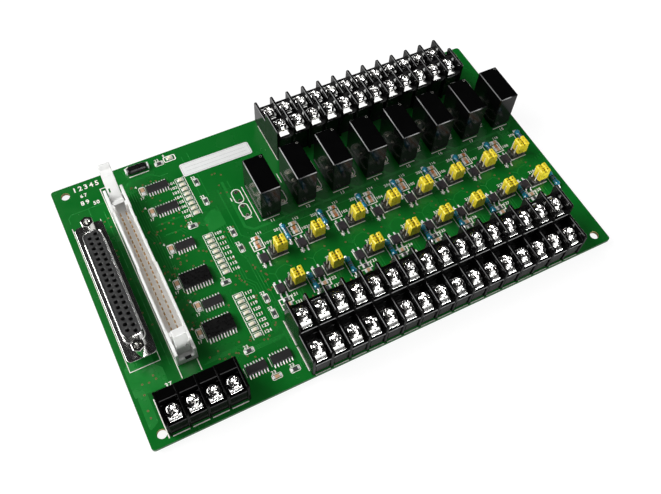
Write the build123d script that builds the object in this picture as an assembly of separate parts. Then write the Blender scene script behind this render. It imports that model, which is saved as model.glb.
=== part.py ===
from build123d import *
import os

# A relay output board with screw terminals, two connectors and eight relays, in millimetres.
# The origin is the middle of the four mounting holes, on the underside of the board.
# +X runs along the long side from the connectors to the last relay, +Y runs from the long
# terminal strip to the short one, and +Z is up. Places are first worked out from the board's
# west and south edges, and at_board() turns them into the part's own frame.

# Board
BOARD_THICKNESS = 1.6
BOARD_CORNER_RADIUS = 1.5
HOLE_DIAMETER = 4.0
HOLE_INSET_X = 5.6
HOLE_INSET_Y = 4.9
EDGE_MARGIN = 0.5
END_MARGIN = 4.5
SOLDER_HEIGHT = 1.5
SOLDER_WIDTH = 1.9

# Terminal strips: fins part the poles, and screws hold wires down on sloped plates
POLE_PITCH = 8.25
BOTTOM_POLES = 16
TOP_POLES = 12
POWER_POLES = 4
FIN_THICKNESS = 1.2
FIN_CORNER = 1.2
FIN_CORNER_RUN = 0.7
LOW_DECK = 8.7
LOW_FIN = 13.75
HIGH_DECK = 13.9
HIGH_FIN = 20.05
TIER_STEP = 13.2
STRIP_DEPTH = 26.5
WALL_RECESS = 0.7
LIP_RECESS = 0.15
LIP_HEIGHT = 0.9
BACK_WALL_RECESS = 1.4
BACK_LIP_RECESS = 0.6
SCREW_INSET = 6.45
PLATE_LENGTH = 10.4
PLATE_SLOPE = 2.0
PLATE_WIDTH = 4.6
PLATE_HEIGHT = 1.0
CLAMP_WIDTH = 6.0
CLAMP_THICKNESS = 0.7
HEAD_DIAMETER = 5.8
HEAD_HEIGHT = 1.7
HEAD_SIDES = 8
TOP_SHIFT = 0.4

# Power terminal block, which has one tier and a thick back wall
POWER_DEPTH = 14.2
POWER_BACK_WALL = 4.6
POWER_INSET_X = 7.9
POWER_INSET_Y = 2.4
POWER_PLATE_LENGTH = 7.4
POWER_PLATE_GAP = 0.3
WASHER_DIAMETER = 6.8
WASHER_THICKNESS = 0.5
WASHER_SIDES = 10

# Relays
RELAY_COUNT = 8
RELAY_OFFSET = 12.6
RELAY_PITCH = 17.78
RELAY_WIDTH = 9.7
RELAY_LENGTH = 19.9
RELAY_HEIGHT = 20.6
RELAY_BEVEL = 0.45
RELAY_FOOT_HEIGHT = 0.8
RELAY_FOOT_INSET = 0.5
RELAY_GAP = 7.8
RELAY_PINS = ((-3.2, -7.6), (3.2, -7.6), (0.0, 0.0), (-3.2, 7.6), (3.2, 7.6))

# Input channels, two rows of eight between the long strip and the relays
CHANNEL_OFFSET = 8.5
CHANNEL_ZONE = 50.3
CHANNEL_STEPS = (0.0, 18.3, 38.4, 56.8, 74.1, 91.1, 109.1, 127.1)
CHANNEL_ROW_STEP = 17.6
NORTH_ROW_INSET = 30.2
JUMPER_PITCH = 2.54
JUMPER_LENGTH = 7.6
JUMPER_WIDTH = 5.1
JUMPER_HEIGHT = 2.5
JUMPER_PIN_HEIGHT = 6.4
PIN_WIDTH = 0.64
SHUNT_LENGTH = 5.0
SHUNT_WIDTH = 2.4
SHUNT_HEIGHT = 6.4
SHUNT_GROOVE_WIDTH = 0.9
SHUNT_GROOVE_DEPTH = 1.2
COUPLER_LENGTH = 3.4
COUPLER_WIDTH = 4.4
COUPLER_HEIGHT = 2.1
COUPLER_SPAN = 7.4
RESISTOR_DIAMETER = 2.2
RESISTOR_LENGTH = 7.6
RESISTOR_SPAN = 11.4
RESISTOR_SIDES = 6
RESISTOR_GAP = 10.8
RESISTOR_Y = (8.8, -1.2)
WIRE_WIDTH = 0.6
COUPLER_GAP = 3.3
COUPLER_Y = (1.1, 2.0)
COUPLER_PITCH = 2.54
CHANNEL_CHIPS = (
    ((-3.0, 10.1), (-3.0, 8.0), (-2.2, 12.4)),
    ((-3.2, -3.4), (-3.2, -5.9)),
)
CHIP_LENGTH = 2.0
CHIP_WIDTH = 1.25
CHIP_HEIGHT = 0.6

# 37-way connector
CONNECTOR_INSET = 10.0
CONNECTOR_Y = 69.6
FLANGE_WIDTH = 12.5
FLANGE_END = 2.9
FLANGE_THICKNESS = 0.7
FLANGE_CORNER = 1.2
FLANGE_HEIGHT = 5.4
CONNECTOR_BASE_INSET = 3.65
CONNECTOR_BASE_WIDTH = 11.0
SHELL_WIDTH = 8.4
SHELL_HEIGHT = 5.9
SHELL_WALL = 0.5
SHELL_CORNER = 1.7
SHELL_TAPER = 1.4
INSERT_RECESS = 0.3
INSERT_CLEARANCE = 0.03
SOCKET_PITCH = 2.77
SOCKET_ROW_GAP = 2.84
SOCKET_ROWS = (18, 19)
SOCKET_RADIUS = 0.62
SOCKET_DEPTH = 2.0
SOCKET_SIDES = 4
JACK_GAP = 4.05
JACK_WIDTH = 5.0
JACK_HEIGHT = 6.3
JACK_BORE = 1.4
JACK_BORE_DEPTH = 4.5

# 50-way box header
HEADER_GAP = 5.0
HEADER_Y = 72.1
HEADER_END = 13.42
HEADER_WIDTH = 8.9
HEADER_HEIGHT = 9.3
HEADER_WALL = 1.25
HEADER_FLOOR = 2.2
HEADER_END_WALL = 1.4
HEADER_END_HEIGHT = 3.6
HEADER_PITCH = 2.54
HEADER_PINS = 25
HEADER_PIN_HEIGHT = 5.2
LATCH_WIDTH = 5.4
LATCH_PIVOT_INSET = 4.0
LATCH_PIVOT_HEIGHT = 4.2
LATCH_LENGTH = 17.6
LATCH_THICKNESS = 2.6
LATCH_FOOT = 8.0
LATCH_FOOT_THICKNESS = 1.6
LATCH_HOOK = 0.9
LATCH_BOSS_GAP = 0.05
NORTH_LATCH_TILT = 45.0
SOUTH_LATCH_TILT = 0.0

# Logic zone: wide and narrow circuits, capacitors and lamp rows east of the box header
WIDE_GAP = 6.25
WIDE_LENGTH = 12.8
WIDE_WIDTH = 7.5
WIDE_HEIGHT = 2.4
WIDE_SPAN = 10.3
WIDE_LEAD_COUNT = 10
WIDE_CIRCUITS_Y = (62.2, 36.7)
NARROW_WIDTH = 3.9
NARROW_HEIGHT = 1.6
NARROW_SPAN = 6.4
NARROW_END_CUT = 0.2
LONG_CIRCUITS = ((2.0, 114.1), (2.0, 101.4))
SHORT_CIRCUITS = ((2.0, 79.7), (2.0, 48.6), (6.4, 13.4), (17.3, 13.4))
LONG_LEAD_COUNT = 8
SHORT_LEAD_COUNT = 7
LEAD_PITCH = 1.27
LEAD_WIDTH = 0.42
LEAD_FOOT = 0.5
BODY_STANDOFF = 0.15
BODY_DRAFT = 0.12
BODY_MIDDLE = 0.55
LEAD_SHOULDER = 0.6
LAMP_GAP = 4.9
LAMP_LENGTH = 3.2
LAMP_WIDTH = 1.6
LAMP_HEIGHT = 0.9
LAMP_COUNT = 8
LAMP_PITCH = 2.85
LAMP_BANK_TOPS = (113.5, 79.6, 46.5)
STRIP_GAP = 10.8
LARGE_CHIP_LENGTH = 3.0
FLAT_CHIPS = ((-6.1, 21.7), (-4.1, 87.7), (-2.1, 55.0), (7.4, 6.3), (-5.4, 126.7), (-0.5, 6.7))
UPRIGHT_CHIPS = ((6.2, 109.4), (6.2, 97.6), (10.7, 76.8), (10.7, 67.8), (10.2, 40.5), (10.2, 32.5))
CAPACITOR_LENGTH = 3.2
CAPACITOR_WIDTH = 1.7
CAPACITOR_HEIGHT = 1.2
CAPACITOR_COUNT = 6
CAPACITOR_GAP = 1.9
CAPACITOR_RISE = 0.8
FUSE_LENGTH = 9.6
FUSE_WIDTH = 4.2
FUSE_HEIGHT = 2.8
FUSE_CORNER = 0.8
FUSE_CAP = 0.8
FUSE_CAP_WIDTH = 2.5
FUSE_CAP_HEIGHT = 2.0
FUSE_INSET = 4.4
FUSE_OFFSET = 15.8
LABEL_LENGTH = 34.8
LABEL_WIDTH = 7.6
LABEL_THICKNESS = 0.12
LABEL_CORNER = 0.7
LABEL_OFFSET_X = 19.7
LABEL_INSET = 14.0
LABEL_TURN = -0.9

# Sizes that follow from the ones above
SHELL_LENGTH = (max(SOCKET_ROWS) + 1) * SOCKET_PITCH
JACK_SPACING = SHELL_LENGTH + 2 * JACK_GAP
FLANGE_LENGTH = JACK_SPACING + 2 * FLANGE_END
CONNECTOR_BASE_LENGTH = FLANGE_LENGTH - 2 * CONNECTOR_BASE_INSET
CONNECTOR_X = CONNECTOR_INSET
HEADER_LENGTH = (HEADER_PINS - 1) * HEADER_PITCH + 2 * HEADER_END
HEADER_X = CONNECTOR_X + FLANGE_WIDTH / 2 + HEADER_GAP + HEADER_WIDTH / 2
WIDE_X = HEADER_X + HEADER_WIDTH / 2 + WIDE_GAP + WIDE_LENGTH / 2
LAMP_X = WIDE_X + WIDE_LENGTH / 2 + LAMP_GAP + LAMP_LENGTH / 2
STRIP_X = LAMP_X + LAMP_LENGTH / 2 + STRIP_GAP
RELAY_X = STRIP_X + RELAY_OFFSET
CHANNEL_X = STRIP_X + CHANNEL_OFFSET
BOTTOM_END = STRIP_X + BOTTOM_POLES * POLE_PITCH + FIN_THICKNESS
RELAY_END = RELAY_X + (RELAY_COUNT - 1) * RELAY_PITCH + RELAY_WIDTH
BOARD_LENGTH = max(BOTTOM_END, RELAY_END) + END_MARGIN
TOP_END = BOTTOM_END + TOP_SHIFT
CHANNEL_Y = EDGE_MARGIN + STRIP_DEPTH
RELAY_Y = CHANNEL_Y + CHANNEL_ZONE
BOARD_WIDTH = RELAY_Y + RELAY_LENGTH + RELAY_GAP + STRIP_DEPTH + EDGE_MARGIN
NORTH_ROW_Y = CHANNEL_Y + NORTH_ROW_INSET
FUSE_Y = BOARD_WIDTH - FUSE_INSET
LABEL_Y = BOARD_WIDTH - LABEL_INSET
NARROW_CIRCUITS = [(x, y, LONG_LEAD_COUNT) for x, y in LONG_CIRCUITS]
NARROW_CIRCUITS += [(x, y, SHORT_LEAD_COUNT) for x, y in SHORT_CIRCUITS]
HALF_X = BOARD_LENGTH / 2
HALF_Y = BOARD_WIDTH / 2
RESISTOR_LIFT = RESISTOR_DIAMETER / 2 + BODY_STANDOFF
TWO_TIERS = ((SCREW_INSET, LOW_DECK), (TIER_STEP + SCREW_INSET, HIGH_DECK))
POWER_LEDGE = POWER_DEPTH - POWER_BACK_WALL
POWER_SCREW_INSET = POWER_LEDGE - POWER_PLATE_GAP - POWER_PLATE_LENGTH / 2
ONE_TIER = ((POWER_SCREW_INSET, LOW_DECK),)


def at_board(x, y, z=0.0):
    """Place x and y, measured from the west and south edges, at z above the board's top."""
    return Pos(x - HALF_X, y - HALF_Y, BOARD_THICKNESS + z)


def block(x_size, y_size, z_size):
    """Block centred on its x and y, standing on z = 0."""
    return Box(x_size, y_size, z_size, align=(Align.CENTER, Align.CENTER, Align.MIN))


def prism(radius, sides, height):
    """Upright prism with SIDES faces, standing on z = 0."""
    return extrude(RegularPolygon(radius, sides), height)


def along_x(points, length):
    """Solid with the outline POINTS, given as (y, z), from x = 0 along +X."""
    return extrude(Plane.YZ * make_face(Polyline(*points, close=True)), length)


def along_y(points, length):
    """Solid with the outline POINTS, given as (x, z), centred on y = 0."""
    outline = Plane.XZ * make_face(Polyline(*points, close=True))
    return extrude(outline, length / 2, both=True)


def circuit_board():
    outline = RectangleRounded(BOARD_LENGTH, BOARD_WIDTH, BOARD_CORNER_RADIUS)
    spacing_x = BOARD_LENGTH - 2 * HOLE_INSET_X
    spacing_y = BOARD_WIDTH - 2 * HOLE_INSET_Y
    holes = GridLocations(spacing_x, spacing_y, 2, 2) * Circle(HOLE_DIAMETER / 2)
    return extrude(outline - holes, BOARD_THICKNESS)


# Terminal strips are drawn with x from the middle of the first fin and y from the outboard face


def power_fin_outline():
    """Fin of the power block: a plain wall with its outer top corner cut."""
    return [
        (0, 0),
        (0, LOW_FIN - FIN_CORNER),
        (FIN_CORNER_RUN, LOW_FIN),
        (POWER_DEPTH, LOW_FIN),
        (POWER_DEPTH, 0),
    ]


def two_tier_fin_outline():
    """Fin that steps up from the low tier to the high tier, its top corners cut."""
    return [
        (0, 0),
        (0, LOW_FIN - FIN_CORNER),
        (FIN_CORNER_RUN, LOW_FIN),
        (TIER_STEP, LOW_FIN),
        (TIER_STEP, HIGH_FIN - FIN_CORNER),
        (TIER_STEP + FIN_CORNER_RUN, HIGH_FIN),
        (STRIP_DEPTH - FIN_CORNER, HIGH_FIN),
        (STRIP_DEPTH, HIGH_FIN - FIN_CORNER),
        (STRIP_DEPTH, 0),
    ]


def two_tier_core_outline():
    """Section between two fins: set-back walls, a lip at each deck's edge, and the step."""
    back_lip = STRIP_DEPTH - BACK_LIP_RECESS
    back_wall = STRIP_DEPTH - BACK_WALL_RECESS
    return [
        (WALL_RECESS, 0),
        (WALL_RECESS, LOW_DECK - LIP_HEIGHT),
        (LIP_RECESS, LOW_DECK - LIP_HEIGHT),
        (LIP_RECESS, LOW_DECK),
        (TIER_STEP, LOW_DECK),
        (TIER_STEP, HIGH_DECK),
        (back_lip, HIGH_DECK),
        (back_lip, HIGH_DECK - LIP_HEIGHT),
        (back_wall, HIGH_DECK - LIP_HEIGHT),
        (back_wall, 0),
    ]


def power_core_outline():
    """Section of the power block between two fins: front wall, deck and thick back wall."""
    return [
        (WALL_RECESS, 0),
        (WALL_RECESS, LOW_DECK),
        (POWER_LEDGE, LOW_DECK),
        (POWER_LEDGE, LOW_FIN),
        (POWER_DEPTH, LOW_FIN),
        (POWER_DEPTH, 0),
    ]


def terminal_housing(poles, core_outline, fin):
    """Moulded housing: one core section along all poles, fused with a fin at each pole's side."""
    core = along_x(core_outline, poles * POLE_PITCH)
    fins = [
        Pos(pole * POLE_PITCH - FIN_THICKNESS / 2, 0, 0) * along_x(fin, FIN_THICKNESS)
        for pole in range(poles + 1)
    ]
    return core + fins


def sloped_plate(length, width):
    """Contact plate whose two ends slope down to the deck, drawn filled under its arch."""
    half = length / 2
    flat = half - PLATE_SLOPE
    outline = [(-half, 0), (-flat, PLATE_HEIGHT), (flat, PLATE_HEIGHT), (half, 0)]
    return Pos(-width / 2, 0, 0) * along_x(outline, width)


def contact_places(poles, tiers):
    """Middle of each contact, for TIERS given as (distance from the face, deck height)."""
    return [
        Pos((pole + 0.5) * POLE_PITCH, depth, deck)
        for depth, deck in tiers
        for pole in range(poles)
    ]


def strip_places():
    """Place of each strip's outboard corner, with its poles and its tiers."""
    half_fin = FIN_THICKNESS / 2
    bottom = at_board(STRIP_X + half_fin, EDGE_MARGIN)
    top = at_board(TOP_END - half_fin, BOARD_WIDTH - EDGE_MARGIN) * Rot(0, 0, 180)
    power = at_board(POWER_INSET_X + half_fin, POWER_INSET_Y)
    return {
        "bottom": (bottom, BOTTOM_POLES, TWO_TIERS),
        "top": (top, TOP_POLES, TWO_TIERS),
        "power": (power, POWER_POLES, ONE_TIER),
    }


def strip_nodes(name, housing, plate, clamp, clamp_thickness):
    """Nodes of one strip: housing, contact plates, clamps under the heads, and screws."""
    place, poles, tiers = strip_places()[name]
    core, fin = housing
    contacts = [place * at for at in contact_places(poles, tiers)]
    on_plate = Pos(0, 0, PLATE_HEIGHT)
    on_clamp = Pos(0, 0, PLATE_HEIGHT + clamp_thickness)
    head = prism(HEAD_DIAMETER / 2, HEAD_SIDES, HEAD_HEIGHT)
    return {
        name + "_terminal_housing": place * terminal_housing(poles, core, fin),
        name + "_terminal_plates": [at * plate for at in contacts],
        name + "_terminal_clamps": [at * on_plate * clamp for at in contacts],
        name + "_terminal_screws": [at * on_clamp * head for at in contacts],
    }


def terminal_strips():
    """The long strip, the short strip turned round to face the far edge, and the power block."""
    two_tier = (two_tier_core_outline(), two_tier_fin_outline())
    one_tier = (power_core_outline(), power_fin_outline())
    plate = sloped_plate(PLATE_LENGTH, PLATE_WIDTH)
    clamp = block(CLAMP_WIDTH, CLAMP_WIDTH, CLAMP_THICKNESS)
    power_plate = sloped_plate(POWER_PLATE_LENGTH, CLAMP_WIDTH)
    washer = prism(WASHER_DIAMETER / 2, WASHER_SIDES, WASHER_THICKNESS)
    nodes = strip_nodes("bottom", two_tier, plate, clamp, CLAMP_THICKNESS)
    nodes |= strip_nodes("top", two_tier, plate, clamp, CLAMP_THICKNESS)
    nodes |= strip_nodes("power", one_tier, power_plate, washer, WASHER_THICKNESS)
    return nodes


def relay():
    """Sealed relay: a case with bevelled top and corners over a slightly smaller foot."""
    foot = block(
        RELAY_WIDTH - 2 * RELAY_FOOT_INSET,
        RELAY_LENGTH - 2 * RELAY_FOOT_INSET,
        RELAY_FOOT_HEIGHT,
    )
    case = block(RELAY_WIDTH, RELAY_LENGTH, RELAY_HEIGHT - RELAY_FOOT_HEIGHT)
    edges = case.edges().filter_by(Axis.Z) + case.faces().sort_by(Axis.Z)[-1].edges()
    case = chamfer(edges, RELAY_BEVEL)
    return foot + Pos(0, 0, RELAY_FOOT_HEIGHT) * case


def relay_places():
    """Middle of each relay, from west to east."""
    first = RELAY_X + RELAY_WIDTH / 2
    middle_y = RELAY_Y + RELAY_LENGTH / 2
    return [at_board(first + number * RELAY_PITCH, middle_y) for number in range(RELAY_COUNT)]


def relays():
    return {f"relay_{number}": place * relay() for number, place in enumerate(relay_places(), 1)}


def shell_outline(length, width, corner):
    """D-shaped outline along Y with cut corners, its wide side at +X."""
    half_x = width / 2
    half_y = length / 2
    taper = SHELL_TAPER * width / SHELL_WIDTH
    corners = [
        (half_x, half_y),
        (half_x, -half_y),
        (-half_x, taper - half_y),
        (-half_x, half_y - taper),
    ]
    face = make_face(Polyline(*corners, close=True))
    return chamfer(face.vertices(), corner)


def socket_places():
    """Middles of the sockets: 18 in the narrow row at -X and 19 in the wide row at +X."""
    return [
        Pos((row - 0.5) * SOCKET_ROW_GAP, (k - (count - 1) / 2) * SOCKET_PITCH)
        for row, count in enumerate(SOCKET_ROWS)
        for k in range(count)
    ]


def connector():
    """37-way socket connector: plastic base, drawn shell with its flange, insert, jackscrews."""
    place = at_board(CONNECTOR_X, CONNECTOR_Y)
    shell_z = FLANGE_HEIGHT + FLANGE_THICKNESS
    outer = shell_outline(SHELL_LENGTH, SHELL_WIDTH, SHELL_CORNER)
    inner = shell_outline(
        SHELL_LENGTH - 2 * SHELL_WALL,
        SHELL_WIDTH - 2 * SHELL_WALL,
        SHELL_CORNER - SHELL_WALL / 2,
    )
    flange = Rectangle(FLANGE_WIDTH, FLANGE_LENGTH)
    flange = chamfer(flange.vertices(), FLANGE_CORNER) - inner
    shell = extrude(flange, FLANGE_THICKNESS)
    shell += extrude(outer - inner, FLANGE_THICKNESS + SHELL_HEIGHT)
    insert_height = FLANGE_THICKNESS + SHELL_HEIGHT - INSERT_RECESS
    socket = prism(SOCKET_RADIUS, SOCKET_SIDES, SOCKET_DEPTH)
    sockets = [at * Pos(0, 0, insert_height - SOCKET_DEPTH) * socket for at in socket_places()]
    insert = extrude(offset(inner, -INSERT_CLEARANCE), insert_height) - sockets
    base = block(CONNECTOR_BASE_WIDTH, CONNECTOR_BASE_LENGTH, FLANGE_HEIGHT)
    jack = extrude(RegularPolygon(JACK_WIDTH / 2, 6, major_radius=False), JACK_HEIGHT)
    bore = extrude(Circle(JACK_BORE), JACK_BORE_DEPTH)
    jack -= Pos(0, 0, JACK_HEIGHT - JACK_BORE_DEPTH) * bore
    jacks = [place * Pos(0, side * JACK_SPACING / 2, shell_z) * jack for side in (-1, 1)]
    return {
        "connector_base": place * base,
        "connector_shell": place * Pos(0, 0, FLANGE_HEIGHT) * shell,
        "connector_insert": place * Pos(0, 0, FLANGE_HEIGHT) * insert,
        "connector_jackscrews": jacks,
    }


def latch():
    """Closed latch about its pivot: an upright arm with a hooked tip and a foot towards -Y."""
    half = LATCH_THICKNESS / 2
    under = -LATCH_FOOT_THICKNESS / 2
    outline = [
        (-LATCH_FOOT, under),
        (half, under),
        (half, LATCH_LENGTH - LATCH_THICKNESS),
        (half + LATCH_HOOK, LATCH_LENGTH),
        (-half, LATCH_LENGTH),
        (-half - LATCH_HOOK, LATCH_LENGTH - LATCH_THICKNESS),
        (-half, LATCH_LENGTH - 2 * LATCH_THICKNESS),
        (-half, -under),
        (-LATCH_FOOT, -under),
    ]
    arm = Pos(-LATCH_WIDTH / 2, 0, 0) * along_x(outline, LATCH_WIDTH)
    boss_width = HEADER_WIDTH - 2 * HEADER_WALL - 2 * LATCH_BOSS_GAP
    return arm + Rot(0, 90, 0) * Cylinder(-under, boss_width)


def header_pin_places():
    return GridLocations(HEADER_PITCH, HEADER_PITCH, 2, HEADER_PINS)


def box_header():
    """50-way header: open trough with low end walls, two rows of pins and two latches."""
    place = at_board(HEADER_X, HEADER_Y)
    trough_width = HEADER_WIDTH - 2 * HEADER_WALL
    shroud = block(HEADER_WIDTH, HEADER_LENGTH, HEADER_HEIGHT)
    shroud -= Pos(0, 0, HEADER_FLOOR) * block(
        trough_width, HEADER_LENGTH - 2 * HEADER_END_WALL, HEADER_HEIGHT
    )
    shroud -= Pos(0, 0, HEADER_END_HEIGHT) * block(trough_width, HEADER_LENGTH, HEADER_HEIGHT)
    pin = block(PIN_WIDTH, PIN_WIDTH, HEADER_PIN_HEIGHT)
    pins = [place * Pos(0, 0, HEADER_FLOOR) * at * pin for at in header_pin_places()]
    pivot_y = HEADER_LENGTH / 2 - LATCH_PIVOT_INSET
    north = Pos(0, pivot_y, LATCH_PIVOT_HEIGHT) * Rot(-NORTH_LATCH_TILT, 0, 0)
    south = Pos(0, -pivot_y, LATCH_PIVOT_HEIGHT) * Rot(SOUTH_LATCH_TILT, 0, 0) * Rot(0, 0, 180)
    return {
        "header_shroud": place * shroud,
        "header_pins": pins,
        "latch_north": place * north * latch(),
        "latch_south": place * south * latch(),
    }


def lead_row(count, pitch, body_half, reach, shoulder):
    """Row of leads along X, each a wedge from the body's side at SHOULDER down to its foot."""
    outline = [(body_half, shoulder), (reach - LEAD_FOOT, 0), (reach, 0)]
    lead = Pos(-LEAD_WIDTH / 2, 0, 0) * along_x(outline, LEAD_WIDTH)
    return [Pos((k - (count - 1) / 2) * pitch, 0, 0) * lead for k in range(count)]


def leads(count, pitch, width, span, height):
    """Leads of a circuit body on both of its long sides."""
    row = lead_row(count, pitch, width / 2, span / 2, height * LEAD_SHOULDER)
    return row + [Rot(0, 0, 180) * lead for lead in row]


def circuit_body(length, width, height):
    """Moulded body with its sides drafted out to the lead line, on a small stand-off."""
    middle = height * BODY_MIDDLE
    half = width / 2
    drafted = half - BODY_DRAFT
    outline = [
        (-drafted, BODY_STANDOFF),
        (-half, middle),
        (-drafted, height),
        (drafted, height),
        (half, middle),
        (drafted, BODY_STANDOFF),
    ]
    return Pos(-length / 2, 0, 0) * along_x(outline, length)


def wide_circuits():
    """Two wide circuits in the column beside the lamps."""
    places = [at_board(WIDE_X, y) for y in WIDE_CIRCUITS_Y]
    body = circuit_body(WIDE_LENGTH, WIDE_WIDTH, WIDE_HEIGHT)
    row = leads(WIDE_LEAD_COUNT, LEAD_PITCH, WIDE_WIDTH, WIDE_SPAN, WIDE_HEIGHT)
    return {
        "wide_circuit_bodies": [place * body for place in places],
        "wide_circuit_leads": [place * lead for place in places for lead in row],
    }


def narrow_circuits():
    """Narrow circuits: four in the column beside the lamps and two by the power block."""
    bodies = []
    all_leads = []
    for x, y, count in NARROW_CIRCUITS:
        place = at_board(WIDE_X + x, y)
        bodies.append(place * circuit_body(narrow_length(count), NARROW_WIDTH, NARROW_HEIGHT))
        row = leads(count, LEAD_PITCH, NARROW_WIDTH, NARROW_SPAN, NARROW_HEIGHT)
        all_leads += [place * lead for lead in row]
    return {
        "narrow_circuit_bodies": bodies,
        "narrow_circuit_leads": all_leads,
    }


def narrow_length(count):
    """Body length of a narrow circuit with COUNT leads on each side."""
    return count * LEAD_PITCH - NARROW_END_CUT


def capacitors():
    """Upright capacitor at the west end of each circuit of the column."""
    ends = [(WIDE_X - WIDE_LENGTH / 2, y) for y in WIDE_CIRCUITS_Y]
    ends += [(WIDE_X + x - narrow_length(count) / 2, y) for x, y, count in NARROW_CIRCUITS]
    capacitor = block(CAPACITOR_WIDTH, CAPACITOR_LENGTH, CAPACITOR_HEIGHT)
    column = ends[:CAPACITOR_COUNT]
    places = [at_board(x - CAPACITOR_GAP, y + CAPACITOR_RISE) for x, y in column]
    return {"bypass_capacitors": [place * capacitor for place in places]}


def channel_rows():
    """South-west corner of each jumper block: the north row, then the south row."""
    return [
        [at_board(CHANNEL_X + step, NORTH_ROW_Y - row * CHANNEL_ROW_STEP) for step in CHANNEL_STEPS]
        for row in (0, 1)
    ]


def shunt():
    """Jumper cap over two pins, with a finger groove across its top."""
    half = SHUNT_LENGTH / 2
    groove = SHUNT_GROOVE_WIDTH / 2
    outline = [
        (-half, 0),
        (half, 0),
        (half, SHUNT_HEIGHT),
        (groove, SHUNT_HEIGHT),
        (0, SHUNT_HEIGHT - SHUNT_GROOVE_DEPTH),
        (-groove, SHUNT_HEIGHT),
        (-half, SHUNT_HEIGHT),
    ]
    return along_y(outline, SHUNT_WIDTH)


def jumpers():
    """2 x 3 pin blocks with two shunts each, which leave the west pair of pins bare."""
    body = block(JUMPER_LENGTH, JUMPER_WIDTH, JUMPER_HEIGHT)
    pin = block(PIN_WIDTH, PIN_WIDTH, JUMPER_PIN_HEIGHT)
    cap = shunt()
    bodies = []
    pins = []
    shunts = []
    for place in sum(channel_rows(), []):
        middle = place * Pos(JUMPER_LENGTH / 2, JUMPER_WIDTH / 2, 0)
        on_body = middle * Pos(0, 0, JUMPER_HEIGHT)
        bodies.append(middle * body)
        for side in (-0.5, 0.5):
            y = side * JUMPER_PITCH
            pins.append(on_body * Pos(-JUMPER_PITCH, y, 0) * pin)
            shunts.append(on_body * Pos(JUMPER_PITCH / 2, y, 0) * cap)
    return {
        "jumper_bases": bodies,
        "jumper_pins": pins,
        "jumper_shunts": shunts,
    }


def optocouplers():
    """Four-lead optocoupler west of each jumper block."""
    body = block(COUPLER_LENGTH, COUPLER_WIDTH, COUPLER_HEIGHT)
    legs = leads(2, COUPLER_PITCH, COUPLER_WIDTH, COUPLER_SPAN, COUPLER_HEIGHT)
    places = [
        place * Pos(-COUPLER_GAP, COUPLER_Y[row], 0)
        for row, places in enumerate(channel_rows())
        for place in places
    ]
    return {
        "optocoupler_bodies": [place * body for place in places],
        "optocoupler_leads": [place * leg for place in places for leg in legs],
    }


def resistor_wire():
    """Wire end that slopes from the middle of the body's end down to the board along +Y."""
    half = WIRE_WIDTH / 2
    start = RESISTOR_LENGTH / 2
    end = RESISTOR_SPAN / 2
    outline = [
        (start, RESISTOR_LIFT - half),
        (start, RESISTOR_LIFT + half),
        (end + half, 0),
        (end - half, 0),
    ]
    return Pos(-half, 0, 0) * along_x(outline, WIRE_WIDTH)


def resistors():
    """Axial resistor east of each jumper block, on two bent wires."""
    lying = Pos(0, RESISTOR_LENGTH / 2, RESISTOR_LIFT) * Rot(90, 0, 0)
    body = lying * prism(RESISTOR_DIAMETER / 2, RESISTOR_SIDES, RESISTOR_LENGTH)
    wire = resistor_wire()
    wires = [wire, Rot(0, 0, 180) * wire]
    places = [
        place * Pos(RESISTOR_GAP, RESISTOR_Y[row], 0)
        for row, places in enumerate(channel_rows())
        for place in places
    ]
    return {
        "resistor_bodies": [place * body for place in places],
        "resistor_wires": [place * wire for place in places for wire in wires],
    }


def chips():
    """Small chips of the input channels, and those beside the circuits and lamps."""
    chip = block(CHIP_LENGTH, CHIP_WIDTH, CHIP_HEIGHT)
    channel_chips = [
        place * Pos(x, y, 0) * chip
        for row, places in enumerate(channel_rows())
        for place in places
        for x, y in CHANNEL_CHIPS[row]
    ]
    large = block(LARGE_CHIP_LENGTH, CHIP_WIDTH, CHIP_HEIGHT)
    logic_chips = [at_board(LAMP_X + x, y) * large for x, y in FLAT_CHIPS]
    logic_chips += [at_board(LAMP_X + x, y) * Rot(0, 0, 90) * large for x, y in UPRIGHT_CHIPS]
    return {
        "channel_chips": channel_chips,
        "logic_chips": logic_chips,
    }


def lamps():
    """Three banks of eight lamps in a column, and the power lamp beside the fuse."""
    lamp = block(LAMP_LENGTH, LAMP_WIDTH, LAMP_HEIGHT)
    banks = [
        at_board(LAMP_X, top - k * LAMP_PITCH) * lamp
        for top in LAMP_BANK_TOPS
        for k in range(LAMP_COUNT)
    ]
    return {
        "lamp_banks": banks,
        "power_lamp": at_board(LAMP_X, FUSE_Y) * lamp,
    }


def fuse():
    """Fuse with cut corners between two end caps that stand on the board."""
    place = at_board(LAMP_X - FUSE_OFFSET, FUSE_Y)
    outline = Rectangle(FUSE_LENGTH, FUSE_WIDTH)
    body = extrude(chamfer(outline.vertices(), FUSE_CORNER), FUSE_HEIGHT)
    cap = block(FUSE_CAP, FUSE_CAP_WIDTH, FUSE_CAP_HEIGHT)
    reach = (FUSE_LENGTH + FUSE_CAP) / 2
    return {
        "fuse_body": place * body,
        "fuse_caps": [place * Pos(side * reach, 0, 0) * cap for side in (-1, 1)],
    }


def label():
    place = at_board(LAMP_X + LABEL_OFFSET_X, LABEL_Y) * Rot(0, 0, LABEL_TURN)
    sticker = Rectangle(LABEL_LENGTH, LABEL_WIDTH)
    sticker = chamfer(sticker.vertices(), LABEL_CORNER)
    return {"label_sticker": place * extrude(sticker, LABEL_THICKNESS)}


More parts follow.
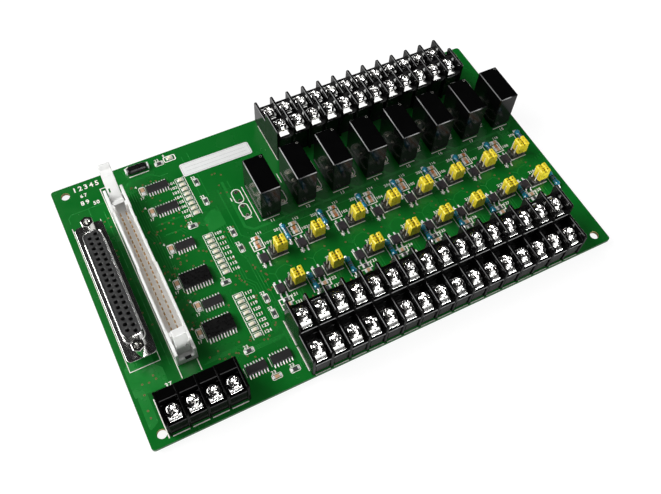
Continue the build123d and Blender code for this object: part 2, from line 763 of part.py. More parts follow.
def solder_joints():
    """Pointed joints under the board, below each terminal contact and relay pin."""
    places = [
        place * Pos((pole + 0.5) * POLE_PITCH, depth)
        for place, poles, tiers in strip_places().values()
        for depth, deck in tiers
        for pole in range(poles)
    ]
    places += [place * Pos(x, y) for place in relay_places() for x, y in RELAY_PINS]
    joint = loft([Rectangle(SOLDER_WIDTH, SOLDER_WIDTH), Vertex(0, 0, -SOLDER_HEIGHT)])
    return {"solder_joints": [place * Pos(0, 0, -BOARD_THICKNESS) * joint for place in places]}


def part_nodes():
    nodes = {"circuit_board": circuit_board()}
    nodes |= terminal_strips()
    nodes |= relays()
    nodes |= connector()
    nodes |= box_header()
    nodes |= wide_circuits()
    nodes |= narrow_circuits()
    nodes |= capacitors()
    nodes |= jumpers()
    nodes |= optocouplers()
    nodes |= resistors()
    nodes |= chips()
    nodes |= lamps()
    nodes |= fuse()
    nodes |= label()
    nodes |= solder_joints()
    return nodes


os.makedirs("parts", exist_ok=True)
for node_name, solids in part_nodes().items():
    shape = Compound(children=solids) if isinstance(solids, list) else solids
    export_step(shape, f"parts/{node_name}.step")
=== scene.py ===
import math
import random

import bmesh
import bpy
from mathutils import Matrix, Vector

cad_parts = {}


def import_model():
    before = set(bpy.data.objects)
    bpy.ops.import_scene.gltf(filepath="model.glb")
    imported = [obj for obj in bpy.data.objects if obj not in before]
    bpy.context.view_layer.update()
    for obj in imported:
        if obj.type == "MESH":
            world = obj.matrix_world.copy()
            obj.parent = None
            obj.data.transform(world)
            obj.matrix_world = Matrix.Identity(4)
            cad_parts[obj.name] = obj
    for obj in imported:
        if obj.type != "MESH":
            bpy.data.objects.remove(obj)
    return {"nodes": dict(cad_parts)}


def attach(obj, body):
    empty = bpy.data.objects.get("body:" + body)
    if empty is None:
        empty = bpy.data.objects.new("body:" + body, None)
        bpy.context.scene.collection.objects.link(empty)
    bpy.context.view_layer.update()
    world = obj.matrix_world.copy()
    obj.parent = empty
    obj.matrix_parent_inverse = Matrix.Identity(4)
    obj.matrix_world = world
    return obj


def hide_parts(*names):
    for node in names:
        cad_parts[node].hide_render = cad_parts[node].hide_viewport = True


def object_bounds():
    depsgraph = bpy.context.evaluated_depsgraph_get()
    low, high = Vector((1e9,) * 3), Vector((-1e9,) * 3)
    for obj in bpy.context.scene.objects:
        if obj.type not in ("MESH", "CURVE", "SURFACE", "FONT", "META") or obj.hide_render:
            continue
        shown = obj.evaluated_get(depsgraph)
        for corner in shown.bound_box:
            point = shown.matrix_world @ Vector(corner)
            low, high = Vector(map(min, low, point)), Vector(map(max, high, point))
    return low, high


# Looks of the relay module board. Forms are made in millimetres in the board's own layout, with
# x and y from its south-west corner and z from its top face, and become metres in Piece.finish.

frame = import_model()
cad_low, cad_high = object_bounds()
random.seed(7)

# Board
BOARD_THICKNESS = 1.6
HALF_X = 109.68
HALF_Y = 66.0
BOARD_WIDTH = 2 * HALF_Y
HOLE_INSET_X = 5.6
HOLE_INSET_Y = 4.9
HOLE_RADIUS = 1.985
PRINT_LIFT = 0.05
TRACK_LIFT = 0.02
PAD_LIFT = 0.035
PRINT_WIDTH = 0.46

# Terminal strips, the sizes of the solids
POLE_PITCH = 8.25
BOTTOM_POLES = 16
TOP_POLES = 12
POWER_POLES = 4
FIN_THICKNESS = 1.2
FIN_RADIUS = 1.1
LOW_DECK = 8.7
LOW_FIN = 13.75
HIGH_DECK = 13.9
HIGH_FIN = 20.05
TIER_STEP = 13.2
STRIP_DEPTH = 26.5
POWER_DEPTH = 14.2
POWER_BACK_WALL = 4.6
EDGE_MARGIN = 0.5
STRIP_X = 68.1
TOP_END = 201.7
POWER_X = 7.9
POWER_Y = 2.4

# Relays, channels, connectors and small parts
RELAY_COUNT = 8
RELAY_X = 80.7
RELAY_PITCH = 17.78
RELAY_WIDTH = 9.7
RELAY_LENGTH = 19.9
RELAY_HEIGHT = 20.6
LINK_X = 76.0
CHANNELS_X = (76.2, 94.5, 114.6, 133.0, 150.3, 167.3, 185.3, 203.3)
CHANNEL_Y = 56.9
ROW_STEP = 17.6
CONNECTOR_X = 10.0
CONNECTOR_Y = 69.6
FLANGE_LENGTH = 69.3
FLANGE_WIDTH = 12.5
SHELL_LENGTH = 55.4
SHELL_WIDTH = 8.4
SHELL_WALL = 0.5
JACK_Y = 31.75
SOCKET_PITCH = 2.77
SOCKET_ROW_GAP = 2.84
HEADER_X = 25.7
HEADER_Y = 72.1
HEADER_LENGTH = 87.8
HEADER_WIDTH = 8.9
PIVOT_INSET = 4.0
PIVOT_HEIGHT = 4.2
LEAD_PITCH = 1.27
WIDE_SPAN = 10.3
NARROW_SPAN = 6.4
PIN_PITCH = 2.54
RESISTOR_LIFT = 1.4
RESISTOR_FOOT = 5.45
LABEL_X = 75.4
LABEL_Y = 118.0

# Light, where 1 is the white of the background
LAMP_DISTANCE = 2.0
AMBIENT_GLOW = 0.36
HORIZON_GLOW = 0.9
CEILING_GLOW = 0.015

ALONG_X = Matrix(((0, 0, 1, 0), (1, 0, 0, 0), (0, 1, 0, 0), (0, 0, 0, 1)))
ALONG_Y = Matrix(((1, 0, 0, 0), (0, 0, -1, 0), (0, 1, 0, 0), (0, 0, 0, 1)))


def shift(x=0.0, y=0.0, z=0.0):
    return Matrix.Translation((x, y, z))


def turn(degrees, axis="Z"):
    return Matrix.Rotation(math.radians(degrees), 4, axis)


def steps(count, pitch):
    """Places along a row about its middle."""
    return [(k - (count - 1) / 2) * pitch for k in range(count)]


# Forms: a form is a list of points and a list of faces


def level(outline, z=0.0):
    """Points of an outline at one height."""
    return [Vector((x, y, z)) for x, y in outline]


def stacked(loops, caps=True, around=False):
    """Skin over loops with the same count of points, each joined to the next.

    AROUND joins the last loop to the first."""
    count = len(loops[0])
    last = count * (len(loops) - 1)
    faces = []
    if caps:
        faces += [list(range(count))[::-1], list(range(last, last + count))]
    for here in range(0, last + count if around else last, count):
        there = (here + count) % (last + count)
        for k in range(count):
            after = (k + 1) % count
            faces.append([here + k, here + after, there + after, there + k])
    return [point for loop in loops for point in loop], faces


def prism(outline, low, high):
    """Upright prism over an outline that runs anticlockwise."""
    return stacked([level(outline, low), level(outline, high)])


def rectangle(x_size, y_size, x=0.0, y=0.0):
    """Outline of a rectangle about (x, y)."""
    signs = ((-1, -1), (1, -1), (1, 1), (-1, 1))
    return [(x + a * x_size / 2, y + b * y_size / 2) for a, b in signs]


def polygon(radius, sides, start=0.0):
    """Outline of a regular polygon about the origin."""
    angles = [start + 2 * math.pi * k / sides for k in range(sides)]
    return [(radius * math.cos(a), radius * math.sin(a)) for a in angles]


def rounded(outline, radii, sides=4):
    """Outline with its corners turned to arcs of SIDES lines.

    RADII is one number, or one for each corner."""
    if not isinstance(radii, (list, tuple)):
        radii = [radii] * len(outline)
    result = []
    for k, radius in enumerate(radii):
        corner = Vector(outline[k])
        before = (Vector(outline[k - 1]) - corner).normalized()
        after = (Vector(outline[(k + 1) % len(outline)]) - corner).normalized()
        if radius <= 0:
            result.append(tuple(corner))
            continue
        half = before.angle(after) / 2
        middle = corner + (before + after).normalized() * (radius / math.sin(half))
        first = corner + before * (radius / math.tan(half)) - middle
        last = corner + after * (radius / math.tan(half)) - middle
        for side in range(sides + 1):
            share = side / sides
            arm = first.slerp(last, share) if first.angle(last) < 3.1 else first.lerp(last, share)
            result.append(tuple(middle + arm.normalized() * radius))
    return result


def lathe(profile, sides=24):
    """Solid turned about Z from (radius, z) points that run up its outside."""
    return stacked([level(polygon(max(radius, 0.001), sides), z) for radius, z in profile])


def sweep(path, radius, sides=10):
    """Round wire along a path of points."""
    path = [Vector(p) for p in path]
    side = Vector((1, 0, 0))
    loops = []
    for k, point in enumerate(path):
        ahead = (path[min(k + 1, len(path) - 1)] - path[max(k - 1, 0)]).normalized()
        side = (side - ahead * side.dot(ahead)).normalized()
        other = ahead.cross(side)
        loops.append([point + side * x + other * y for x, y in polygon(radius, sides)])
    return stacked(loops)


def ribbon(path, width, closed=False):
    """Flat strip of one width along a path in the XY plane, with mitred turns."""
    path = [Vector(p) for p in path]
    count = len(path)
    points = []
    for k in range(count):
        before = path[k] - path[k - 1] if closed or k > 0 else path[1] - path[0]
        after = path[(k + 1) % count] - path[k] if closed or k < count - 1 else before
        before = before.normalized()
        after = after.normalized()
        normal = Vector((-before.y - after.y, before.x + after.x)).normalized()
        reach = width / 2 / max(0.4, normal.dot(Vector((-after.y, after.x))))
        points.append(Vector((*(path[k] + normal * reach), 0)))
        points.append(Vector((*(path[k] - normal * reach), 0)))
    faces = []
    for k in range(count if closed else count - 1):
        a = 2 * k
        b = 2 * ((k + 1) % count)
        faces.append([a + 1, b + 1, b, a])
    return points, faces


def flat(outline):
    """One flat face over an outline."""
    return level(outline), [list(range(len(outline)))]


def ring(inner, outer, sides=16):
    """Flat ring, such as a pad round a hole."""
    return stacked([level(polygon(outer, sides)), level(polygon(inner, sides))], caps=False)


def moved(form, place):
    return [place @ point for point in form[0]], form[1]


def tapered(form, x_share, y_share=None):
    """Form with its upper half drawn in to a share of its width."""
    points, faces = form
    middle = (min(p.z for p in points) + max(p.z for p in points)) / 2
    shares = (x_share, y_share or x_share)
    points = [Vector((p.x * shares[0], p.y * shares[1], p.z)) if p.z > middle else p
              for p in points]
    return points, faces


def joined(*forms):
    """One form out of several."""
    points = []
    faces = []
    for more_points, more_faces in forms:
        start = len(points)
        points = points + list(more_points)
        faces = faces + [[start + k for k in face] for face in more_faces]
    return points, faces


def new_object(name, data):
    """Object for some data, linked to the scene."""
    made = bpy.data.objects.new(name, data)
    bpy.context.scene.collection.objects.link(made)
    return made


def mesh_of(form):
    mesh = bpy.data.meshes.new("form")
    mesh.from_pydata([tuple(p) for p in form[0]], [], form[1])
    return mesh


def form_of(bm):
    """Form of a bmesh, which is freed."""
    bm.verts.index_update()
    points = [v.co.copy() for v in bm.verts]
    faces = [[v.index for v in f.verts] for f in bm.faces]
    bm.free()
    return points, faces


def softened(form, width, segments=2, angle=28.0):
    """Form with the edges that are sharper than ANGLE rounded over."""
    bm = bmesh.new()
    bm.from_mesh(mesh_of(form))
    sharp = [e for e in bm.edges if e.is_manifold and e.calc_face_angle(0) > math.radians(angle)]
    bmesh.ops.bevel(
        bm, geom=sharp, offset=width, segments=segments, profile=0.5, affect="EDGES",
        clamp_overlap=True,
    )
    return form_of(bm)


def final_form(made):
    """Form of an object after its modifiers."""
    depsgraph = bpy.context.evaluated_depsgraph_get()
    bm = bmesh.new()
    bm.from_mesh(made.evaluated_get(depsgraph).to_mesh())
    return form_of(bm)


def cut(form, *tools):
    """Form with the tools taken out of it."""
    body, tool = [new_object("cut", mesh_of(part)) for part in (form, joined(*tools))]
    modifier = body.modifiers.new("cut", "BOOLEAN")
    modifier.operation = "DIFFERENCE"
    modifier.solver = "EXACT"
    modifier.use_self = True
    modifier.object = tool
    result = final_form(body)
    bpy.data.objects.remove(body)
    bpy.data.objects.remove(tool)
    return result


def slab(x_size, y_size, low, high, soft=0.1, corner=0.0, sides=3, segments=2):
    """Block with softened edges and, where CORNER is given, round upright corners."""
    outline = rectangle(x_size, y_size)
    if corner:
        outline = rounded(outline, corner, sides)
    return softened(prism(outline, low, high), soft, segments)


class Piece:
    """A mesh that grows form by form and becomes one object with one or more materials."""

    def __init__(self, *materials):
        self.materials = materials
        self.points = []
        self.faces = []
        self.kinds = []

    def add(self, form, place=None, kind=0):
        start = len(self.points)
        points, faces = form
        self.points += [place @ p for p in points] if place else points
        self.faces += [[start + k for k in face] for face in faces]
        self.kinds += [kind] * len(faces)

    def finish(self, name, nodes=(), slot=None, body="board", smooth=20.0):
        """Make the object, in metres, riding on BODY and standing for the CAD nodes in NODES."""
        mesh = bpy.data.meshes.new(name)
        origin = Vector((-HALF_X, -HALF_Y, BOARD_THICKNESS))
        mesh.from_pydata([tuple((p + origin) / 1000) for p in self.points], [], self.faces)
        for material in self.materials:
            mesh.materials.append(material)
        mesh.polygons.foreach_set("material_index", self.kinds)
        mesh.shade_smooth()
        mesh.set_sharp_from_angle(angle=math.radians(smooth))
        mesh.update()
        made = new_object(name, mesh)
        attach(made, body)
        if nodes:
            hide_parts(*nodes)


def solids(node):
    """Middle of the foot of each separate solid of a CAD node, with its sizes, west to east."""
    bm = bmesh.new()
    bm.from_mesh(frame["nodes"][node].data)
    bmesh.ops.remove_doubles(bm, verts=bm.verts, dist=1e-6)
    waiting = set(bm.verts)
    found = []
    while waiting:
        front = [waiting.pop()]
        island = []
        while front:
            vert = front.pop()
            island.append(vert.co * 1000)
            for edge in vert.link_edges:
                other = edge.other_vert(vert)
                if other in waiting:
                    waiting.discard(other)
                    front.append(other)
        low = Vector([min(p[k] for p in island) for k in range(3)])
        high = Vector([max(p[k] for p in island) for k in range(3)])
        foot = Vector(((low.x + high.x) / 2 + HALF_X, (low.y + high.y) / 2 + HALF_Y))
        found.append((foot.x, foot.y, low.z - BOARD_THICKNESS, high - low))
    bm.free()
    return sorted(found, key=lambda s: (round(s[0], 1), round(s[1], 1)))


def copies(name, node, slot, materials, forms, spin=None, smooth=20.0):
    """Piece with FORMS, one for each material, on the foot of every solid of a CAD node.

    SPIN is the range in degrees of a random turn about Z."""
    piece = Piece(*materials)
    for x, y, z, _ in solids(node):
        place = shift(x, y, z)
        if spin:
            place = place @ turn(random.uniform(*spin))
        for kind, form in enumerate(forms):
            piece.add(form, place, kind)
    piece.finish(name, [node], slot, smooth=smooth)


# Materials


def feed(entry, value):
    """Set an input of a shader node, or link it where VALUE is a socket."""
    if isinstance(value, bpy.types.NodeSocket):
        entry.id_data.links.new(value, entry)
    else:
        entry.default_value = value


def fill(node, **values):
    """Feed the named inputs of a node."""
    for name, value in values.items():
        feed(node.inputs[name.replace("_", " ")], value)
    return node


def add_node(tree, kind, **values):
    """New shader node with some of its inputs fed."""
    return fill(tree.nodes.new("ShaderNode" + kind), **values)


def mix_color(tree, share, first, second):
    """Socket with the colour between FIRST and SECOND, which are colours or sockets."""
    made = add_node(tree, "Mix")
    made.data_type = "RGBA"
    for number, value in ((0, share), (6, first), (7, second)):
        feed(made.inputs[number], value)
    return made.outputs[2]


def surface(
    name, color, roughness=0.5, metallic=0.0, spread=0.15, patch=900, grain=2500, bump=0.1,
    coat=0.0, specular=0.5,
):
    """Material with patchy colour, uneven gloss and fine grain, all from noise."""
    material = bpy.data.materials.new(name)
    material.use_nodes = True
    tree = material.node_tree
    place = add_node(tree, "TexCoord").outputs["Object"]
    patches = add_node(tree, "TexNoise", Vector=place, Scale=patch, Detail=4.0).outputs["Fac"]
    dark = [c * (1 - spread) for c in color] + [1]
    light = [min(1.0, c * (1 + spread)) for c in color] + [1]
    gloss = add_node(tree, "MapRange", Value=patches, From_Min=0.3, From_Max=0.7,
                     To_Min=roughness * 0.75, To_Max=roughness * 1.25)
    fine = add_node(tree, "TexNoise", Vector=place, Scale=grain, Detail=3.0)
    relief = add_node(tree, "Bump", Height=fine.outputs["Fac"], Strength=bump, Distance=0.0001)
    fill(tree.nodes["Principled BSDF"], Base_Color=mix_color(tree, patches, dark, light),
         Roughness=gloss.outputs["Result"], Normal=relief.outputs["Normal"], Metallic=metallic,
         Coat_Weight=coat, Specular_IOR_Level=specular)
    return material


def by_facing(material, edge_color):
    """Give upright faces, such as the board's edges and hole walls, a colour of their own."""
    tree = material.node_tree
    color = tree.nodes["Principled BSDF"].inputs["Base Color"]
    normal = add_node(tree, "NewGeometry").outputs["True Normal"]
    parts = add_node(tree, "SeparateXYZ", Vector=normal)
    share = add_node(tree, "Math")
    share.operation = "ABSOLUTE"
    feed(share.inputs[0], parts.outputs["Z"])
    level_color = color.links[0].from_socket
    feed(color, mix_color(tree, share.outputs["Value"], (*edge_color, 1), level_color))
    return material


MASK = by_facing(
    surface("solder_mask", (0.0018, 0.142, 0.014), 0.25, patch=60, spread=0.12, grain=1400,
            bump=0.03),
    (0.006, 0.070, 0.012),
)
POUR = surface("covered_copper", (0.010, 0.205, 0.028), 0.25, patch=150, spread=0.12, bump=0.03)
INK = surface("print_ink", (0.99, 0.98, 0.86), 0.55, patch=2500, spread=0.1, grain=4000, bump=0.2)
PAD = surface("tinned_pad", (0.72, 0.68, 0.55), 0.28, 1.0, patch=1500, spread=0.25, bump=0.2)
VIA = surface("via_ring", (0.30, 0.17, 0.06), 0.4, 0.3, patch=2500, spread=0.3)
LAMINATE = surface("bare_laminate", (0.42, 0.33, 0.14), 0.6, spread=0.2)
# Near-black colour put into holes, pits and gaps: painted shade
PAINTED_SHADE = surface("deep_shadow", (0.002, 0.002, 0.002), 0.7, patch=2000, bump=0.05)
HOUSING = surface("terminal_plastic", (0.0022, 0.0021, 0.0022), 0.17, patch=500, spread=0.3,
                  grain=5000, bump=0.05, specular=0.22)
POWER_HOUSING = surface("power_plastic", (0.0015, 0.0015, 0.0015), 0.2, patch=500, spread=0.3,
                        grain=5000, bump=0.05, specular=0.05)
RELAY = surface("relay_plastic", (0.0016, 0.0016, 0.0017), 0.14, patch=180, spread=0.3,
                bump=0.015, specular=0.3)
NICKEL = surface("nickel_plate", (0.86, 0.86, 0.84), 0.13, 1.0, patch=1200, spread=0.06,
                 grain=1300, bump=0.015)
SCREW = surface("screw_plate", (0.84, 0.83, 0.81), 0.10, 1.0, patch=1200, spread=0.12, grain=1100)
TIN = surface("tinned_lead", (0.92, 0.92, 0.90), 0.30, 0.3, patch=2500, spread=0.12, bump=0.15)
SOLDER = surface("solder", (0.90, 0.91, 0.89), 0.30, 0.2, spread=0.12, bump=0.2)
GOLD = surface("gold_flash", (0.50, 0.27, 0.06), 0.28, 0.8, patch=2500, spread=0.3)
# Gold of the pin shafts made pale and mostly matt: a painted reflection, which also lightens the
# shaded trough
GOLD_PAINTED_REFLECTION = surface("gold_painted_reflection", (0.88, 0.84, 0.78), 0.3, 0.2, patch=2500, spread=0.1)
SHROUD = surface("header_plastic", (0.88, 0.88, 0.865), 0.38, patch=350, spread=0.05, grain=3000,
                 bump=0.08)
LATCH = surface("latch_plastic", (0.79, 0.79, 0.775), 0.38, patch=350, spread=0.06, grain=3000,
                bump=0.08)
FLANGE = surface("drawn_steel", (0.62, 0.62, 0.61), 0.16, 1.0, patch=400, grain=900, bump=0.12)
INSERT = surface("insert_plastic", (0.020, 0.020, 0.020), 0.45, patch=600, spread=0.2)
COMPOUND = surface("circuit_compound", (0.014, 0.013, 0.014), 0.45, patch=2500, spread=0.5,
                   grain=5000, bump=0.2, specular=0.35)
GLOSS_COMPOUND = surface("wide_compound", (0.004, 0.004, 0.004), 0.3, spread=0.3, grain=5000,
                         specular=0.3)
BASE = surface("pin_base_plastic", (0.012, 0.011, 0.010), 0.4, spread=0.3)
YELLOW = surface("shunt_plastic", (0.90, 0.73, 0.03), 0.3, patch=700, spread=0.12, bump=0.06)
# Dark brown floors of the shunts' pin holes: painted shade
HOLLOW_SHADE = surface("shunt_hollow_shade", (0.10, 0.05, 0.004), 0.6, bump=0.05)
BLUE = surface("resistor_lacquer", (0.008, 0.20, 0.32), 0.16, spread=0.3, bump=0.04, coat=1.0)
BAND_DARK = surface("band_dark", (0.012, 0.008, 0.006), 0.3, patch=2000, bump=0.05)
BAND_BROWN = surface("band_brown", (0.13, 0.035, 0.012), 0.3, patch=2000, bump=0.05)
BROWN = surface("chip_ceramic_tan", (0.62, 0.38, 0.22), 0.5, patch=1500)
ORANGE = surface("chip_ceramic_orange", (0.55, 0.20, 0.06), 0.45, patch=1500, spread=0.2)
GREY = surface("chip_film", (0.05, 0.05, 0.055), 0.35, patch=1500, spread=0.3)
WHITE = surface("chip_white", (0.55, 0.55, 0.50), 0.4, patch=1800, spread=0.2)
PURPLE = surface("coupler_compound", (0.028, 0.022, 0.029), 0.45, patch=2500, spread=0.5,
                 grain=5000, bump=0.25)
LENS = surface("lamp_resin", (0.86, 0.80, 0.62), 0.18, spread=0.12, bump=0.05, coat=0.5)
PAPER = surface("label_paper", (0.80, 0.81, 0.80), 0.6, patch=500, spread=0.03, bump=0.15)
RULE = surface("label_rule", (0.35, 0.35, 0.35), 0.6, patch=1500)


# Board: covered copper, bare pads, holes and print


def dress_board():
    """Give the solid board its solder mask."""
    board = frame["nodes"]["circuit_board"]
    board.data.materials.clear()
    board.data.materials.append(MASK)


def pour_outlines():
    """Wide areas of copper under the solder mask."""
    corner = [(1.2, 22.5), (15.5, 22.5), (15.5, 30.5), (13.2, 33.0), (13.2, 38.0), (3.4, 38.0)]
    corner += [(1.2, 36.0)]
    strip = [(2.0, 7.5), (6.2, 10.0), (6.2, 22.5), (2.0, 22.5)]
    middle = [(57.2, 81.0), (65.5, 82.5), (65.5, 90.0), (62.5, 92.5), (57.2, 89.0)]
    east = [(206.0, 60.0), (212.0, 64.0), (212.0, 74.0), (206.0, 74.0)]
    return [corner, strip, middle, east]


def track_paths():
    """Middle lines of the tracks that show through the mask, each with its width."""
    paths = []
    for k in range(RELAY_COUNT):
        x = 72.5 + RELAY_PITCH * k
        if k < RELAY_COUNT - 1:
            paths.append(([(x, 104.5), (x, 77.5), (x + 3.0, 74.5)], 1.3))
        paths.append(([(x + 2.5, 104.0), (x + 2.5, 99.5)], 0.5))
    paths.append(([(75.5, 74.5), (213.0, 74.5), (215.0, 76.5), (215.0, 100.0)], 1.3))
    paths.append(([(69.0, 101.0), (69.0, 74.0), (72.5, 70.5), (210.0, 70.5)], 0.45))
    for x in CHANNELS_X:
        y = CHANNEL_Y
        paths.append(([(x - 4.2, y - 5.8), (x - 1.9, y - 7.4), (x + 0.3, y - 5.4)], 0.4))
        paths.append(([(x - 1.8, y - 7.1), (x - 1.8, y - 10.5)], 0.4))
        paths.append(([(x + 0.3, y - 5.4), (x + 4.0, y - 4.6), (x + 6.2, y - 6.6)], 0.35))
        y -= ROW_STEP
        for east in (4.0, 5.3):
            paths.append(([(x + east, y - 1.0), (x + east, y - 9.0)], 0.35))
    for path, count, pitch, width in (
        ([(62.5, 92.0), (62.5, 70.0), (66.5, 62.0), (66.5, 30.0)], 3, 1.3, 0.35),
        ([(31.5, 118.0), (31.5, 92.0), (33.0, 88.0), (33.0, 70.0)], 4, 1.1, 0.3),
        ([(36.5, 94.5), (50.0, 94.5), (51.0, 91.0)], 2, 1.1, 0.3),
        ([(36.0, 72.5), (36.0, 57.0), (34.0, 54.0)], 2, 1.0, 0.3),
        ([(31.0, 24.0), (44.0, 24.0), (47.0, 21.0), (64.0, 21.0)], 4, 1.3, 0.35),
        ([(60.0, 58.0), (60.0, 52.0), (63.0, 48.0), (63.0, 24.0)], 3, 1.2, 0.35),
        ([(48.0, 88.5), (53.0, 88.5), (56.0, 86.0), (60.0, 86.0)], 2, 1.2, 0.4),
        ([(38.0, 88.0), (46.0, 88.0), (47.5, 85.5)], 2, 1.1, 0.3),
        ([(18.6, 112.0), (18.6, 30.0)], 1, 1.3, 0.4),
        ([(33.5, 122.5), (31.5, 119.5)], 2, 1.2, 0.5),
        ([(36.5, 122.5), (44.5, 122.5), (48.0, 119.8), (52.0, 119.8)], 1, 1.2, 0.5),
        ([(61.0, 126.0), (61.0, 98.0)], 2, 3.2, 0.4),
        ([(66.0, 24.0), (66.0, 6.0)], 2, 1.1, 0.4),
        ([(3.3, 111.5), (3.3, 114.6), (4.8, 116.3), (12.8, 116.3), (12.8, 111.5)], 1, 1.0, 0.45),
        ([(12.8, 116.5), (20.2, 116.5)], 1, 1.0, 0.45),
    ):
        paths += bus(path, count, pitch, width)
    return paths


def bus(path, count, pitch, width):
    """COUNT tracks side by side, PITCH apart."""
    return [([(x + k * pitch, y + k * pitch * 0.4) for x, y in path], width) for k in range(count)]


def copper():
    """Covered areas and tracks, at slightly different heights where they cross."""
    piece = Piece(POUR)
    for outline in pour_outlines():
        piece.add(flat(rounded(outline, 0.7, 3)), shift(z=TRACK_LIFT))
    for number, (path, width) in enumerate(track_paths()):
        lift = TRACK_LIFT + 0.0006 * (number % 17 + 1)
        piece.add(ribbon(path, width), shift(z=lift))
    piece.finish("covered_tracks")


def via_places():
    """Vias in loose clusters; a group is two corners of an area, and how many lie in it."""
    groups = [
        (33.0, 118.0, 52.0, 120.0, 5), (33.0, 104.0, 51.0, 111.0, 6), (31.5, 84.0, 58.0, 97.0, 26),
        (31.5, 66.0, 53.0, 76.0, 22), (31.5, 40.0, 53.0, 45.5, 12), (31.5, 50.0, 41.0, 58.0, 10),
        (56.5, 50.0, 70.0, 58.0, 12), (59.5, 60.0, 68.0, 80.0, 14), (59.0, 24.0, 66.0, 45.0, 12),
        (34.0, 18.0, 66.0, 28.0, 18), (62.0, 84.0, 79.0, 112.0, 10), (16.5, 40.0, 19.5, 110.0, 8),
        (68.5, 30.0, 72.0, 72.0, 8),
    ]
    places = [(5.7, 27), (8.4, 26.6), (10.9, 28.8), (11.5, 27), (5, 22.5), (4, 15.8), (4, 12.6)]
    for x0, y0, x1, y1, count in groups:
        for _ in range(count):
            places.append((random.uniform(x0, x1), random.uniform(y0, y1)))
    for x in CHANNELS_X:
        places += [(x + 5.5, 53.0), (x - 5.2, 50.8), (x + 6.2, 50.3), (x + 8.2, 33.0)]
    return places


def pads():
    """Bare pads and vias."""
    piece = Piece(PAD, VIA, PAINTED_SHADE, LAMINATE)
    via = ring(0.22, 0.42, 10)
    hole = flat(polygon(0.22, 10))
    # Each via hole is a dark disc: painted shade
    for x, y in via_places():
        piece.add(via, shift(x, y, PAD_LIFT), 1)
        piece.add(hole, shift(x, y, PAD_LIFT), 2)
    through = ring(0.42, 0.95)
    centre = flat(polygon(0.42, 12))
    # The middle of each through pad is a dark disc: painted shade of its hole
    for x, y in oval_pads() + resistor_pads():
        piece.add(through, shift(x, y, PAD_LIFT))
        piece.add(centre, shift(x, y, PAD_LIFT), 2)
    bore = polygon(HOLE_RADIUS, 40)
    lining = stacked([level(bore, -0.02), level(bore, 0.02 - BOARD_THICKNESS)], caps=False)
    for side_x in (-1, 1):
        for side_y in (-1, 1):
            x = HALF_X + side_x * (HALF_X - HOLE_INSET_X)
            y = HALF_Y + side_y * (HALF_Y - HOLE_INSET_Y)
            piece.add(lining, shift(x, y), 3)
    land = flat(rounded(rectangle(0.62, 1.5), 0.2, 2))
    for x, y, _, count, span in circuit_rows():
        for step in steps(count, LEAD_PITCH):
            for side in (-1, 1):
                piece.add(land, shift(x + step, y + side * (span / 2 - 0.35), PAD_LIFT))
    piece.finish("board_pads", slot="tinned_metal")


def oval_pads():
    """Empty pads of the link places west of each relay."""
    columns = [LINK_X + RELAY_PITCH * k for k in range(RELAY_COUNT)]
    return [(x, y) for x in columns for y in (96.3, 91.3, 88.2, 82.7)]


def resistor_pads():
    """Pads under the bent ends of the resistors."""
    return [(x, y) for x, y, _, _ in solids("resistor_wires")]


def circuit_rows():
    """Middle, size, leads on each side and lead span of every circuit."""
    rows = [(x, y, size, 10, WIDE_SPAN) for x, y, _, size in solids("wide_circuit_bodies")]
    for x, y, _, size in solids("narrow_circuit_bodies"):
        rows.append((x, y, size, round(size.x / LEAD_PITCH), NARROW_SPAN))
    return rows


class Print:
    """White lines and numerals on the board."""

    def __init__(self):
        self.piece = Piece(INK)

    def line(self, *path, width=PRINT_WIDTH, closed=False):
        self.piece.add(ribbon(path, width, closed), shift(z=PRINT_LIFT))

    def box(self, x, y, x_size, y_size, corner=0.5, width=PRINT_WIDTH):
        outline = rounded(rectangle(x_size, y_size, x, y), corner, 3)
        self.piece.add(ribbon(outline, width, True), shift(z=PRINT_LIFT + 0.003))

    def numeral(self, text, x, y, height=1.3):
        for k, character in enumerate(str(text)):
            place = shift(x + k * height * 0.8, y, PRINT_LIFT + 0.002)
            self.piece.add(NUMERALS[character], place @ Matrix.Scale(height, 4))

    def finish(self):
        self.piece.finish("board_print")


def numeral_forms():
    """Flat forms of the ten numerals, one unit high."""
    forms = {}
    for character in "0123456789":
        curve = bpy.data.curves.new("numeral", "FONT")
        curve.body = character
        curve.size = 1.4
        curve.offset = 0.035
        holder = new_object("numeral", curve)
        forms[character] = final_form(holder)
        bpy.data.objects.remove(holder)
    return forms


NUMERALS = numeral_forms()


def board_print():
    """All print on the board, as one piece."""
    ink = Print()
    strip_print(ink)
    relay_print(ink)
    channel_print(ink)
    logic_print(ink)
    connector_print(ink)
    ink.finish()


def strip_print(ink):
    """Lines along the terminal strips."""
    for pole in range(BOTTOM_POLES):
        x = STRIP_X + FIN_THICKNESS / 2 + pole * POLE_PITCH
        ink.line((x + 0.7, 0.28), (x + POLE_PITCH - 0.7, 0.28), width=0.34)
    for x, south, north in ((67.9, 3.0, 14.6), (67.9, 15.4, 27.8), (101.5, 105.0, 128.0)):
        ink.line((x, south), (x, north), width=0.34)
    ink.line((7.6, 2.0), (7.6, 19.3))
    for pole in range(POWER_POLES):
        x = POWER_X + FIN_THICKNESS / 2 + pole * POLE_PITCH
        ink.line((x + 0.6, 2.15), (x + POLE_PITCH - 0.6, 2.15))


def relay_print(ink):
    """Lines and numerals of the relays and of the link places beside them."""
    for k in range(RELAY_COUNT):
        west = RELAY_X + RELAY_PITCH * k
        link = LINK_X + RELAY_PITCH * k
        ink.line((west - 1.0, 77.0 if k == 0 else 92.5), (west - 1.0, 98.0), width=0.34)
        ink.line((west + 0.4, 76.95), (west + 8.6, 76.95))
        ink.numeral(11 + k, west + 3.2, 74.6, 1.5)
        for y in (94.0, 85.5):
            ink.line(*rounded(rectangle(4.2, 7.8, link, y), 2.05, 8), width=0.42, closed=True)
        ink.line((link - 1.9, 81.0), (link + 1.5, 81.0), width=0.5)
        ink.numeral(k + 1, link - 4.1, 92.5, 2.0)


